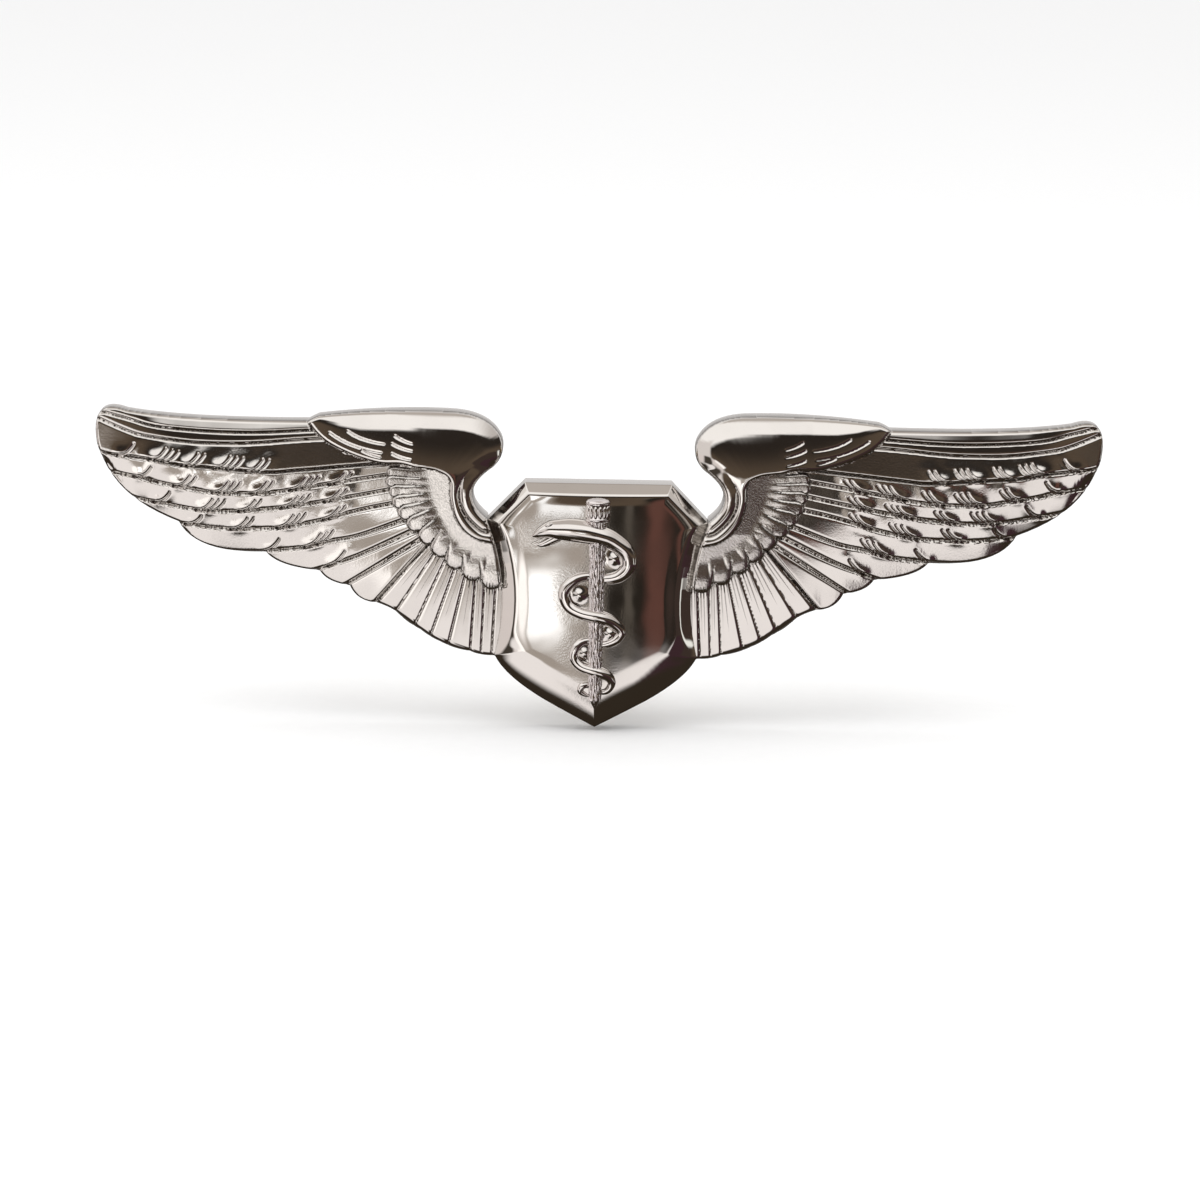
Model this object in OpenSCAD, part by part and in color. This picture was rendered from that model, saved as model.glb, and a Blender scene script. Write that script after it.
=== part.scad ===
// Winged insignia pin: a struck metal shield with a rod and serpent between two wings,
// held to cloth by three posts and three butterfly clutches.
// Frame: x to the viewer's right, z up, the badge's flat back rim on y = 0,
// its front towards -y and its posts towards +y.

/* [Badge] */
// Width across both wing tips
span = 76.2; // [70:0.1:80]
// Depth of the wing at its shoulder, next to the shield
arm_depth = 3.5; // [3:0.1:4]
// Depth of the wing where the long feathers start
wing_depth = 2.6; // [2.4:0.1:2.9]
// Depth of the wing at its tip
tip_depth = 2.2; // [2:0.1:2.4]
// Depth of the shield's upright side walls
wall_depth = 2.3; // [2:0.1:2.5]
// Rise of the shield's bevel from its walls to its field
bevel_rise = 0.9; // [0.6:0.1:1.2]
// Width of the field, as a share of the shield's width
field_share_x = 0.885; // [0.85:0.005:0.92]
// Height of the field, as a share of the shield's height
field_share_z = 0.91; // [0.88:0.005:0.94]
// Width of the flat rim left round each hollow back
rim = 1.1; // [0.9:0.1:1.3]
// Depth of the hollows in the back
hollow = 1.1; // [0.8:0.1:1.2]

/* [Emblem] */
// Radius of the rod under its knob
rod_r = 0.6; // [0.5:0.05:0.65]
// Radius of the rod at its foot
rod_foot_r = 0.42; // [0.35:0.05:0.5]
// Radius of the knob on the rod
knob_r = 0.92; // [0.8:0.05:1]
// Height of the serpent's body, as a share of its half width
serpent_rise = 0.85; // [0.7:0.05:1]

/* [Posts] */
// Radius of a post
post_r = 0.5; // [0.45:0.01:0.55]
// Reach of a post behind the back rim
post_reach = 8.5; // [8:0.1:9.5]
// Distance of the wing posts from the centre
post_x = 20; // [18:0.5:22]
// Height of the wing posts above the centre
post_z = 4.7; // [4.4:0.1:5]
// Height of the shield's post, below the centre
centre_post_z = -2; // [-3:0.1:-1]
// Radius of the solder pad under a post
pad_r = 1.6; // [1.3:0.1:1.8]
// Thickness of the solder pad
pad_t = 0.4; // [0.3:0.05:0.5]

/* [Clutches] */
// Room for cloth between the back rim and a clutch
cloth_gap = 2.3; // [2.2:0.1:2.8]
// Radius of the clutch's base plate
base_r = 5.7; // [5.3:0.1:6]
// Thickness of the clutch's sheet metal
sheet = 0.35; // [0.3:0.05:0.4]
// Outer radius of the clutch's dome
dome_r = 3.5; // [3.4:0.05:3.6]
// Height of the dome's top above the underside of the base
dome_top = 3.25; // [3.2:0.05:3.4]
// Clearance of the clutch's holes round the post
hole_gap = 0.08; // [0.05:0.01:0.1]
// Thickness of the spring strip
leaf_t = 0.3; // [0.25:0.05:0.3]
// Width of the spring strip inside the dome
leaf_w = 3.2; // [2.8:0.1:3.4]
// Width across a finger grip
finger_w = 5.6; // [5:0.1:6]

/* [Hidden] */
$fn = 64;
drawn_span = 76.2;
k = span / drawn_span;
steps = 6;

// A wing's edge: knots and, between each two, the point that pulls the curve outwards.
wing_edge = [
    [8.0, 3.7], [9.15, 4.5], [9.4, 5.2], [9.9, 6.6], [8.0, 7.8], [6.9, 8.8], [7.45, 10.1],
    [8.4, 11.9], [11.5, 11.95], [16, 12.1], [21.2, 11.45], [21.6, 11.3], [22.0, 11.05],
    [31.5, 10.9], [35.8, 11.6], [38.6, 12.6], [38.0, 9.1], [36.95, 4.9], [31.9, 3.0],
    [30.6, 0.5], [25.2, 0.75], [24.4, -0.35], [21.1, -0.6], [20.6, -1.5], [18.8, -1.7],
    [18.3, -2.9], [16.7, -3.0], [15.6, -3.3], [15.1, -3.8], [14.4, -4.6], [13.4, -5.0],
    [12.7, -5.6], [11.9, -5.9], [10.9, -6.5], [9.6, -6.6], [8.8, -7.0], [7.3, -6.9]
];
// Where the wing's edge would close, hidden behind the shield's wall.
wing_root = [[5, -7], [5, 3.6]];

// The right half of the shield's edge, in the same form, from its top to its point.
shield_edge = [
    [5.55, 6.68], [6.95, 5.23], [8.35, 3.78], [6.35, -1.2], [7.7, -6.6],
    [6.95, -8.2], [3.9, -10.0], [1.95, -11.08], [0, -12.1]
];
// The point towards which the shield's bevel closes in.
shield_centre_z = -1;

// The serpent's runs between the places where the rod hides it: x, z, half width,
// and 1 where the body climbs over the rod.
serpent_runs = [
    [[-4.7, 2.85, 0.3, 0], [-4.2, 3.05, 0.7, 0], [-2.8, 3.25, 0.95, 0], [-1.3, 3.2, 0.93, 1],
     [0.3, 2.85, 0.77, 1], [1.2, 2.45, 0.73, 1], [2.3, 1.65, 0.64, 0], [2.4, 0.55, 0.58, 0],
     [1.65, -0.25, 0.5, 0], [0.82, -0.5, 0.42, 0]],
    [[-0.82, -0.3, 0.38, 0], [-1.6, -0.55, 0.46, 0], [-2.45, -1.45, 0.48, 0],
     [-2.15, -2.55, 0.47, 0], [-1.25, -3.05, 0.52, 1], [0.3, -3.35, 0.5, 1], [1.2, -3.7, 0.5, 1],
     [1.9, -4.45, 0.37, 0], [1.5, -5.15, 0.32, 0], [0.75, -5.55, 0.3, 0]],
    [[-0.75, -5.25, 0.31, 0], [-1.35, -5.6, 0.37, 0], [-1.6, -6.55, 0.37, 0],
     [-1.15, -7.15, 0.38, 1], [0.3, -7.7, 0.42, 1], [0.9, -7.9, 0.4, 1],
     [1.2, -8.45, 0.34, 0], [1.0, -9.05, 0.28, 0], [0.65, -9.3, 0.25, 0]],
    [[-0.65, -8.45, 0.28, 0], [-1.05, -8.8, 0.3, 0], [-0.95, -9.25, 0.26, 0],
     [-0.65, -9.45, 0.18, 0]]
];
// How far the body clears the rod that it climbs over, and how wide the climb is.
over_rod = 0.15;
over_reach = 0.85;
run_steps = 3;
section_steps = 8;

field_y = -(wall_depth + bevel_rise);
rod_top_z = 4.1;
rod_foot_z = -9.8;
rod_point_z = -10.5;
knob_foot_z = 4.15;
knob_top_z = 5.6;

groove_r = 0.32;
groove_start = post_reach - 2.5;
groove_end = groove_start + 0.7;
point_start = post_reach - 0.8;
point_r = 0.12;

hole_r = post_r + hole_gap;
rim_h = 0.9;
funnel_r = 1.3;
funnel_drop = 0.25;
window_h = 2.75;
window_w = leaf_w + 0.5;
knuckle_r = 0.28;
hinge_x = dome_r - sheet / 2;
hinge_h = 2.25;
jaw_h = 1.5;
jaw_gap = 0.12;
jaw_clear = 0.02;
finger_root_h = 3.4;
finger_top_h = 6.2;

function bow(a, b, c, t) = a * (1 - t) * (1 - t) + b * 2 * t * (1 - t) + c * t * t;
function chain(p) = concat(
    [for (i = [0:2:len(p) - 3]) for (s = [0:steps - 1]) bow(p[i], p[i + 1], p[i + 2], s / steps)],
    [p[len(p) - 1]]
);
function flipped(p) = [for (i = [len(p) - 1:-1:0]) [-p[i][0], p[i][1]]];
function ease(t) = let (u = max(0, min(1, t))) u * u * (3 - 2 * u);

// Depth of the wing's front at distance x from the centre.
function wing_front(x) = arm_depth - (arm_depth - wing_depth) * ease((x - 12) / 10)
    - (wing_depth - tip_depth) * ease((x - 22) / 16);

// A curve through the points p, with the values of each point carried along it.
function through(a, b, c, d, t) = 0.5 * (2 * b + (c - a) * t + (2 * a - 5 * b + 4 * c - d) * t * t
    + (3 * b - a - 3 * c + d) * t * t * t);
function smooth_run(p) = let (n = len(p)) concat(
    [for (i = [0:n - 2]) for (s = [0:run_steps - 1])
        through(p[max(0, i - 1)], p[i], p[i + 1], p[min(n - 1, i + 2)], s / run_steps)],
    [p[n - 1]]
);
function lift(p) = p[3] * (rod_r + over_rod) * exp(-pow(p[0] / over_reach, 2));

// One half-round cross-section of the serpent at point i of the run q.
function section(q, i) = let (
    n = len(q), a = q[max(0, i - 1)], b = q[min(n - 1, i + 1)],
    along = [b[0] - a[0], b[1] - a[1]] / norm([b[0] - a[0], b[1] - a[1]]), p = q[i]
) [for (s = [0:section_steps]) let (w = p[2] * cos(180 * s / section_steps))
    [p[0] - along[1] * w, field_y - lift(p) - p[2] * serpent_rise * sin(180 * s / section_steps),
     p[1] + along[0] * w]];

module half_round_run(p) {
    q = smooth_run(p);
    m = section_steps + 1;
    n = len(q);
    points = [for (i = [0:n - 1]) for (v = section(q, i)) v];
    sides = [for (i = [0:n - 2]) for (s = [0:m - 1]) let (t = (s + 1) % m)
        [i * m + s, (i + 1) * m + s, (i + 1) * m + t, i * m + t]];
    caps = [[for (s = [0:m - 1]) s], [for (s = [m - 1:-1:0]) (n - 1) * m + s]];
    polyhedron(points, concat(sides, caps), convexity = 6);
}

module wing_outline() { scale(k) polygon(concat(chain(wing_edge), wing_root)); }
module shield_outline() {
    half = chain(shield_edge);
    scale(k) polygon(concat(half, flipped(half)));
}
module upright(depth) { rotate([90, 0, 0]) linear_extrude(depth) children(); }
module hollow_cut() { translate([0, 1, 0]) upright(hollow + 1) offset(delta = -rim) children(); }

module wing() {
    reach = span / 2 + 1;
    front = concat([for (x = [4:1:reach]) [x, -wing_front(x / k)]], [[reach, 0], [4, 0]]);
    difference() {
        intersection() {
            upright(arm_depth + 1) wing_outline();
            translate([0, 0, -10 * k]) linear_extrude(24 * k) polygon(front);
        }
        translate([0, 1, 0]) upright(arm_depth + 3) shield_outline();
        hollow_cut() difference() { wing_outline(); shield_outline(); }
    }
}

module left_wing() { color("gainsboro") mirror([1, 0, 0]) wing(); }
module right_wing() { color("gainsboro") wing(); }

module shield() {
    color("silver") difference() {
        union() {
            upright(wall_depth) shield_outline();
            translate([0, -wall_depth, shield_centre_z * k]) rotate([90, 0, 0])
                linear_extrude(bevel_rise, scale = [field_share_x, field_share_z])
                    translate([0, -shield_centre_z * k]) shield_outline();
        }
        hollow_cut() shield_outline();
    }
}

module staff() {
    color("silver") intersection() {
        translate([0, field_y, 0]) union() {
            translate([0, 0, rod_foot_z])
                cylinder(h = rod_top_z - rod_foot_z, r1 = rod_foot_r, r2 = rod_r);
            translate([0, 0, rod_point_z])
                cylinder(h = rod_foot_z - rod_point_z, r1 = 0.05, r2 = rod_foot_r);
            translate([0, 0, rod_top_z]) cylinder(h = knob_foot_z - rod_top_z, r = rod_r);
            translate([0, 0, knob_foot_z])
                cylinder(h = knob_top_z - knob_foot_z - knob_r / 2, r = knob_r);
            translate([0, 0, knob_top_z - knob_r / 2]) intersection() {
                translate([0, 0, -knob_r / 2]) sphere(knob_r * 1.12);
                cylinder(h = knob_r, r = knob_r);
            }
        }
        translate([-2, field_y - 2, rod_point_z - 1]) cube([4, 2, 20]);
    }
}

module serpent() { color("silver") for (run = serpent_runs) half_round_run(run); }

// A post from the floor of the hollow to its point, with the groove that locks a clutch.
module post() {
    foot = -hollow + pad_t;
    rotate([-90, 0, 0]) rotate_extrude() polygon([
        [0, foot], [post_r, foot], [post_r, groove_start], [groove_r, groove_start],
        [groove_r, groove_end], [post_r, groove_end], [post_r, point_start],
        [point_r, post_reach], [0, post_reach]
    ]);
}
module post_pad() {
    translate([0, -hollow, 0]) rotate([-90, 0, 0]) rotate_extrude() polygon([
        [0, 0], [pad_r, 0], [pad_r, pad_t / 2], [pad_r - pad_t / 2, pad_t], [0, pad_t]
    ]);
}

module on_left() { translate([-post_x * k, 0, post_z * k]) children(); }
module on_centre() { translate([0, 0, centre_post_z * k]) children(); }
module on_right() { translate([post_x * k, 0, post_z * k]) children(); }
// A clutch is drawn standing on its base, and laid over its post here.
module clutch_place() { translate([0, cloth_gap, 0]) rotate([-90, 0, 0]) children(); }

module clutch_base() {
    color("goldenrod") clutch_place() rotate_extrude() polygon([
        [hole_r, 0], [funnel_r, 0], [base_r - 0.5, 0], [base_r - 0.15, 0.15], [base_r, 0.5],
        [base_r - 0.1, rim_h - 0.1], [base_r - 0.3, rim_h], [base_r - 0.5, rim_h - 0.1],
        [base_r - 0.5, 0.5], [base_r - 0.7, sheet], [hole_r, sheet]
    ]);
}

module clutch_dome() {
    color("goldenrod") clutch_place() difference() {
        rotate_extrude() polygon([
            [hole_r, dome_top], [dome_r - 0.6, dome_top], [dome_r - 0.18, dome_top - 0.18],
            [dome_r, dome_top - 0.6], [dome_r, sheet], [dome_r - sheet, sheet],
            [dome_r - sheet, dome_top - 0.7], [dome_r - sheet - 0.35, dome_top - sheet],
            [hole_r, dome_top - sheet]
        ]);
        translate([-dome_r - 1, -window_w / 2, sheet]) cube([2 * dome_r + 2, window_w, window_h - sheet]);
    }
}

// The points of a bent strip of thickness t along the line p.
function strip(p, t) = let (n = len(p), side = [for (i = [0:n - 1]) let (
    a = p[max(0, i - 1)], b = p[min(n - 1, i + 1)], d = (b - a) / norm(b - a)) [-d[1], d[0]] * t / 2])
    concat([for (i = [0:n - 1]) p[i] + side[i]], [for (i = [n - 1:-1:0]) p[i] - side[i]]);

// The still part of the spring: a saddle on the base that ends under each knuckle.
module clutch_strap() {
    end_x = hinge_x - knuckle_r - 0.35;
    line = [[-end_x, 1.5], [-end_x, 0.75], [-end_x + 0.25, sheet + leaf_t / 2],
            [end_x - 0.25, sheet + leaf_t / 2], [end_x, 0.75], [end_x, 1.5]];
    color("peru") clutch_place() difference() {
        rotate([90, 0, 0]) linear_extrude(leaf_w, center = true) polygon(strip(line, leaf_t));
        cylinder(h = 4, r = hole_r + 0.2, center = true);
    }
}

// A moving leaf of the spring on the +x side: its jaw, its knuckle and its finger grip.
module clutch_leaf() {
    jaw = [[jaw_gap, jaw_h], [hinge_x, hinge_h]];
    finger = chain([[hinge_x, hinge_h], [4.6, 2.4], [5.3, 3.9], [5.9, 5.2], [6.9, finger_top_h - 0.3]]);
    difference() {
        union() {
            intersection() {
                rotate([90, 0, 0]) linear_extrude(finger_w + 1, center = true)
                    polygon(strip(finger, leaf_t));
                rotate([90, 0, 90]) linear_extrude(10) polygon(finger_front());
            }
            rotate([90, 0, 0]) linear_extrude(leaf_w, center = true) polygon(strip(jaw, leaf_t));
            translate([hinge_x, 0, hinge_h]) rotate([90, 0, 0])
                cylinder(h = leaf_w, r = knuckle_r, center = true);
        }
        cylinder(h = 8, r = post_r + jaw_clear, center = true);
    }
}
// A finger grip's outline, seen along the strip's run: narrow at the dome, round at its end.
function finger_front() = let (w = leaf_w / 2, f = finger_w / 2, top = finger_top_h, half = chain(
    [[w, 0], [w, 1], [w, 2.8], [w, finger_root_h], [f, finger_root_h + 0.7],
     [f + 0.2, top - 0.6], [f - 0.9, top - 0.2], [1, top], [0, top]])) concat(half, flipped(half));

module leaf_right() { color("peru") clutch_place() clutch_leaf(); }
module leaf_left() { color("peru") clutch_place() mirror([1, 0, 0]) clutch_leaf(); }

left_wing();
right_wing();
shield();
staff();
serpent();
color("lightgray") on_left() post();  // left_post
color("lightgray") on_centre() post();  // centre_post
color("lightgray") on_right() post();  // right_post
color("gray") on_left() post_pad();  // left_post_pad
color("gray") on_centre() post_pad();  // centre_post_pad
color("gray") on_right() post_pad();  // right_post_pad
on_left() clutch_base();  // left_clutch_base
on_left() clutch_dome();  // left_clutch_dome
on_left() clutch_strap();  // left_clutch_strap
on_left() leaf_right();  // left_clutch_inner_leaf
on_left() leaf_left();  // left_clutch_outer_leaf
on_centre() clutch_base();  // centre_clutch_base
on_centre() clutch_dome();  // centre_clutch_dome
on_centre() clutch_strap();  // centre_clutch_strap
on_centre() leaf_left();  // centre_clutch_left_leaf
on_centre() leaf_right();  // centre_clutch_right_leaf
on_right() clutch_base();  // right_clutch_base
on_right() clutch_dome();  // right_clutch_dome
on_right() clutch_strap();  // right_clutch_strap
on_right() leaf_left();  // right_clutch_inner_leaf
on_right() leaf_right();  // right_clutch_outer_leaf
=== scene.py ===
"""A winged shield badge with a rod and serpent: its struck relief, clutches, finishes and light."""

import logging
import math
from dataclasses import dataclass, field
from enum import Enum
from typing import Any, Callable, Sequence

import bmesh
import bpy
import numpy as np
from mathutils import Matrix, Vector, kdtree
from mathutils.geometry import delaunay_2d_cdt


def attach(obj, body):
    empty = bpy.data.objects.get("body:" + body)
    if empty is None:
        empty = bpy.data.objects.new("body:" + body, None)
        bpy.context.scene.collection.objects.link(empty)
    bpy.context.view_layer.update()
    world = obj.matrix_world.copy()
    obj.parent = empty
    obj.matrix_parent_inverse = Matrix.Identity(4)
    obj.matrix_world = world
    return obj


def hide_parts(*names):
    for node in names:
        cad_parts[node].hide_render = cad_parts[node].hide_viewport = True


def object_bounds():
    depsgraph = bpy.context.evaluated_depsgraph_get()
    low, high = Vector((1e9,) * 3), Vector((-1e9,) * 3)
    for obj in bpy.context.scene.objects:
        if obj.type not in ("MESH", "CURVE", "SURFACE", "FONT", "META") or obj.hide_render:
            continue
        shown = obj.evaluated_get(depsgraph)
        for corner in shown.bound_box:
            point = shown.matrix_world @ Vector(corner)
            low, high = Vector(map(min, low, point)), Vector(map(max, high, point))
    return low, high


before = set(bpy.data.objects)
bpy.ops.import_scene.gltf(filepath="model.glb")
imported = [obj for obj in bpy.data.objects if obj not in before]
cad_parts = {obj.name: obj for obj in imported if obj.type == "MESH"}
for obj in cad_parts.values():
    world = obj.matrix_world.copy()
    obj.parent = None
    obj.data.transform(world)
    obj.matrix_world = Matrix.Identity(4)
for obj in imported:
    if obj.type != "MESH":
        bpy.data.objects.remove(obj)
CAD_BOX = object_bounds()

MM = 0.001
LOG = logging.getLogger("badge")


# ---------------------------------------------------------------- curves and distances


def bow_chain(knots: Sequence[Sequence[float]], steps: int = 8) -> np.ndarray:
    """Follow a chain of quadratic bows.

    Args:
        knots: Knots and, between each two, the point that pulls the bow outwards.
        steps: Points on each bow.

    Returns:
        The points of the chain, its last knot included.
    """
    p = np.array(knots, float)
    t = np.linspace(0, 1, steps, endpoint=False)[:, None]
    bows = [
        a * (1 - t) ** 2 + b * 2 * t * (1 - t) + c * t**2
        for a, b, c in zip(p[:-2:2], p[1::2], p[2::2])
    ]
    return np.vstack([*bows, p[-1:]])


def through(points: Sequence[Sequence[float]], steps: int = 6) -> np.ndarray:
    """Run a smooth curve through points, and carry any further values along it.

    Args:
        points: The points to pass through, in order.
        steps: Points made for each span.

    Returns:
        The points of the curve.
    """
    p = np.array(points, float)
    q = np.vstack([p[:1], p, p[-1:]])
    t = np.linspace(0, 1, steps, endpoint=False)[:, None]
    spans = []
    for a, b, c, d in zip(q[:-3], q[1:-2], q[2:-1], q[3:]):
        spans.append(
            0.5
            * (2 * b + (c - a) * t + (2 * a - 5 * b + 4 * c - d) * t**2 + (3 * b - a - 3 * c + d) * t**3)
        )
    return np.vstack([*spans, p[-1:]])


def resample(path: np.ndarray, pitch: float, closed: bool = False) -> np.ndarray:
    """Space points evenly along a path.

    Args:
        path: The path's points.
        pitch: Wanted distance between points.
        closed: Whether the last point joins the first.

    Returns:
        The evenly spaced points; a closed path doesn't repeat its first one.
    """
    p = np.vstack([path, path[:1]]) if closed else path
    run = np.concatenate([[0], np.cumsum(np.linalg.norm(np.diff(p, axis=0), axis=1))])
    count = max(2, int(round(run[-1] / pitch)))
    at = np.linspace(0, run[-1], count + 1)
    out = np.stack([np.interp(at, run, p[:, i]) for i in range(p.shape[1])], axis=1)
    return out[:-1] if closed else out


def to_path(points: np.ndarray, path: np.ndarray, closed: bool = False) -> tuple[np.ndarray, np.ndarray]:
    """Measure points against a path.

    Args:
        points: The points, n by 2.
        path: The path's points.
        closed: Whether the last point joins the first.

    Returns:
        The distance to the path, and the share of its length at the nearest place.
    """
    p = np.vstack([path, path[:1]]) if closed else path
    a, d = p[:-1], np.diff(p, axis=0)
    length2 = np.maximum((d**2).sum(1), 1e-12)
    run = np.concatenate([[0], np.cumsum(np.sqrt(length2))])
    far, share = [], []
    for lot in np.array_split(points, max(1, len(points) * len(a) // 2_000_000)):
        rel = lot[:, None, :] - a[None]
        t = np.clip((rel * d[None]).sum(2) / length2, 0, 1)
        gap = np.linalg.norm(rel - t[:, :, None] * d[None], axis=2)
        best = gap.argmin(1)
        rows = np.arange(len(lot))
        far.append(gap[rows, best])
        share.append((run[best] + t[rows, best] * np.sqrt(length2[best])) / run[-1])
    return np.concatenate(far), np.concatenate(share)


def inside(points: np.ndarray, loop: np.ndarray) -> np.ndarray:
    """Say which points lie inside a closed loop."""
    x, y = points[:, 0], points[:, 1]
    hit = np.zeros(len(points), bool)
    for (x0, y0), (x1, y1) in zip(loop, np.roll(loop, -1, axis=0)):
        crosses = (y0 > y) != (y1 > y)
        if y0 != y1:
            hit ^= crosses & (x < x0 + (y - y0) / (y1 - y0) * (x1 - x0))
    return hit


def ease(t: np.ndarray | float) -> np.ndarray | float:
    """Run smoothly from 0 to 1 as t does."""
    t = np.clip(t, 0, 1)
    return t * t * (3 - 2 * t)


def crown(w: np.ndarray, power: float = 2.4) -> np.ndarray:
    """Rise from 0 at w = 0 to 1 in the middle and back to 0 at w = 1, steep at both ends."""
    return (1 - np.clip(np.abs(2 * w - 1), 0, 1) ** power) ** (1 / power)


# ---------------------------------------------------------------- shader maths and finishes


class Value:
    """A shader socket that answers to the signs of arithmetic."""

    def __init__(self, kit: "NodeKit", socket: bpy.types.NodeSocket) -> None:
        self.kit = kit
        self.socket = socket

    def _math(self, operation: str, first: Any, second: Any) -> "Value":
        """Add one Math node."""
        return self.kit.node("ShaderNodeMath", {"operation": operation}, {0: first, 1: second})

    def __add__(self, other: Any) -> "Value":
        """Add."""
        return self._math("ADD", self, other)

    def __radd__(self, other: Any) -> "Value":
        """Add, reflected."""
        return self._math("ADD", other, self)

    def __sub__(self, other: Any) -> "Value":
        """Subtract."""
        return self._math("SUBTRACT", self, other)

    def __rsub__(self, other: Any) -> "Value":
        """Subtract, reflected."""
        return self._math("SUBTRACT", other, self)

    def __mul__(self, other: Any) -> "Value":
        """Multiply."""
        return self._math("MULTIPLY", self, other)

    def __rmul__(self, other: Any) -> "Value":
        """Multiply, reflected."""
        return self._math("MULTIPLY", other, self)


class NodeKit:
    """Makes the nodes of one tree."""

    def __init__(self, tree: bpy.types.NodeTree) -> None:
        """Start with an empty tree."""
        self.tree = tree
        tree.nodes.clear()

    def node(
        self, kind: str, settings: dict | None = None, inputs: dict | None = None, out: Any = 0
    ) -> Value:
        """Add a node.

        Args:
            kind: The node's type.
            settings: Its properties, set before its sockets are filled.
            inputs: Values or links by socket name or number.
            out: The name or number of the socket to return.

        Returns:
            The chosen output socket.
        """
        made = self.tree.nodes.new(kind)
        for key, setting in (settings or {}).items():
            setattr(made, key, setting)
        for key, given in (inputs or {}).items():
            if isinstance(given, Value):
                self.tree.links.new(given.socket, made.inputs[key])
            else:
                made.inputs[key].default_value = given
        return Value(self, made.outputs[out]) if made.outputs else Value(self, None)

    def band(self, value: Value, low: float, high: float) -> Value:
        """Run smoothly from 0 to 1 as a value goes from low to high."""
        return self.node(
            "ShaderNodeMapRange",
            {"interpolation_type": "SMOOTHSTEP"},
            {"Value": value, "From Min": low, "From Max": high},
        )

    def stripe(self, value: Value, rise: Sequence[float], fall: Sequence[float]) -> Value:
        """Run smoothly from 0 to 1 over one stretch of a value and back to 0 over a later one."""
        return self.band(value, *rise) * (1 - self.band(value, *fall))

    def blend(self, share: Any, first: Any, second: Any) -> Value:
        """Mix two colours."""
        made = self.tree.nodes.new("ShaderNodeMix")
        made.data_type = "RGBA"
        sockets = [s for s in made.inputs if s.type == "RGBA"]
        for target, given in ((made.inputs[0], share), (sockets[0], first), (sockets[1], second)):
            if isinstance(given, Value):
                self.tree.links.new(given.socket, target)
            else:
                target.default_value = given
        return Value(self, [s for s in made.outputs if s.type == "RGBA"][0])

    def noise(
        self, place: Value, scale: float, detail: float = 2.0, squeeze: Sequence[float] = (1, 1, 1)
    ) -> Value:
        """Noise at a scale in cells per metre, squeezed along each axis.

        Args:
            place: Object coordinates.
            scale: Cells per metre.
            detail: Octaves.
            squeeze: Factor on each axis; a small one draws the pattern out.

        Returns:
            The noise value, about 0.5 on average.
        """
        mapped = self.node("ShaderNodeMapping", {}, {"Vector": place, "Scale": tuple(squeeze)})
        return self.node("ShaderNodeTexNoise", {}, {"Vector": mapped, "Scale": scale, "Detail": detail})


def rgba(colour: Sequence[float]) -> tuple[float, float, float, float]:
    """Give a colour its alpha."""
    return (colour[0], colour[1], colour[2], 1.0)


@dataclass(frozen=True)
class MetalFinish:
    """A metal surface: its colour, its polish, what dulls it, and one dark colour for both tarnish and
    painted shade in hollows.
    """

    name: str
    colour: tuple[float, float, float]
    # Dark colour for smudges and grain flecks, also used as painted shade in the front's hollows.
    tarnish_and_shade: tuple[float, float, float]
    roughness: float
    smudge: float = 0.04
    smudge_scale: float = 260.0
    draw: tuple[float, float, float] = (1.0, 1.0, 1.0)
    line_depth: float = 0.0
    line_scale: float = 5200.0
    ripple: float = 0.0
    ripple_scale: float = 420.0
    grain_scale: float = 7000.0
    grain_depth: float = 0.12

    def material(self) -> bpy.types.Material:
        """Build the material.

        The mesh attribute "recess" paints shade into hollows by darkening them towards the dark colour, and
        "grain" leaves the struck ground rough.

        Returns:
            The material.
        """
        made = bpy.data.materials.new(self.name)
        made.use_nodes = True
        kit = NodeKit(made.node_tree)
        place = kit.node("ShaderNodeTexCoord", out="Object")
        recess = kit.node("ShaderNodeAttribute", {"attribute_name": "recess"}, out="Fac")
        grain = kit.node("ShaderNodeAttribute", {"attribute_name": "grain"}, out="Fac")
        cloud = kit.band(kit.noise(place, self.smudge_scale, 4.0), 0.35, 0.7)
        grit = kit.noise(place, self.grain_scale, 3.0)
        lines = kit.noise(place, self.line_scale, 2.0, self.draw)
        fleck = kit.band(grit, 0.42, 0.62)
        # Painted shade: recess darkens the hollows; grain flecks and smudge clouds add real dirt and wear.
        dark = kit.node("ShaderNodeClamp", {}, {"Value": recess * 0.85 + grain * fleck * 0.1 + cloud * 0.05})
        colour = kit.blend(dark, rgba(self.colour), rgba(self.tarnish_and_shade))
        rough = cloud * self.smudge + self.roughness + recess * 0.16 + grain * 0.14
        rough = rough + (lines - 0.5) * self.line_depth
        height = (grit - 0.5) * grain * self.grain_depth + (lines - 0.5) * self.line_depth * 0.5
        swell = kit.noise(place, self.ripple_scale, 1.0)
        height = height + (swell - 0.5) * self.ripple
        bump = kit.node("ShaderNodeBump", {}, {"Strength": 1.0, "Distance": 0.0001, "Height": height})
        shader = kit.node(
            "ShaderNodeBsdfPrincipled",
            {},
            {"Base Color": colour, "Metallic": 1.0, "Roughness": rough, "Normal": bump},
        )
        kit.node("ShaderNodeOutputMaterial", {}, {"Surface": shader})
        return made


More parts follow.
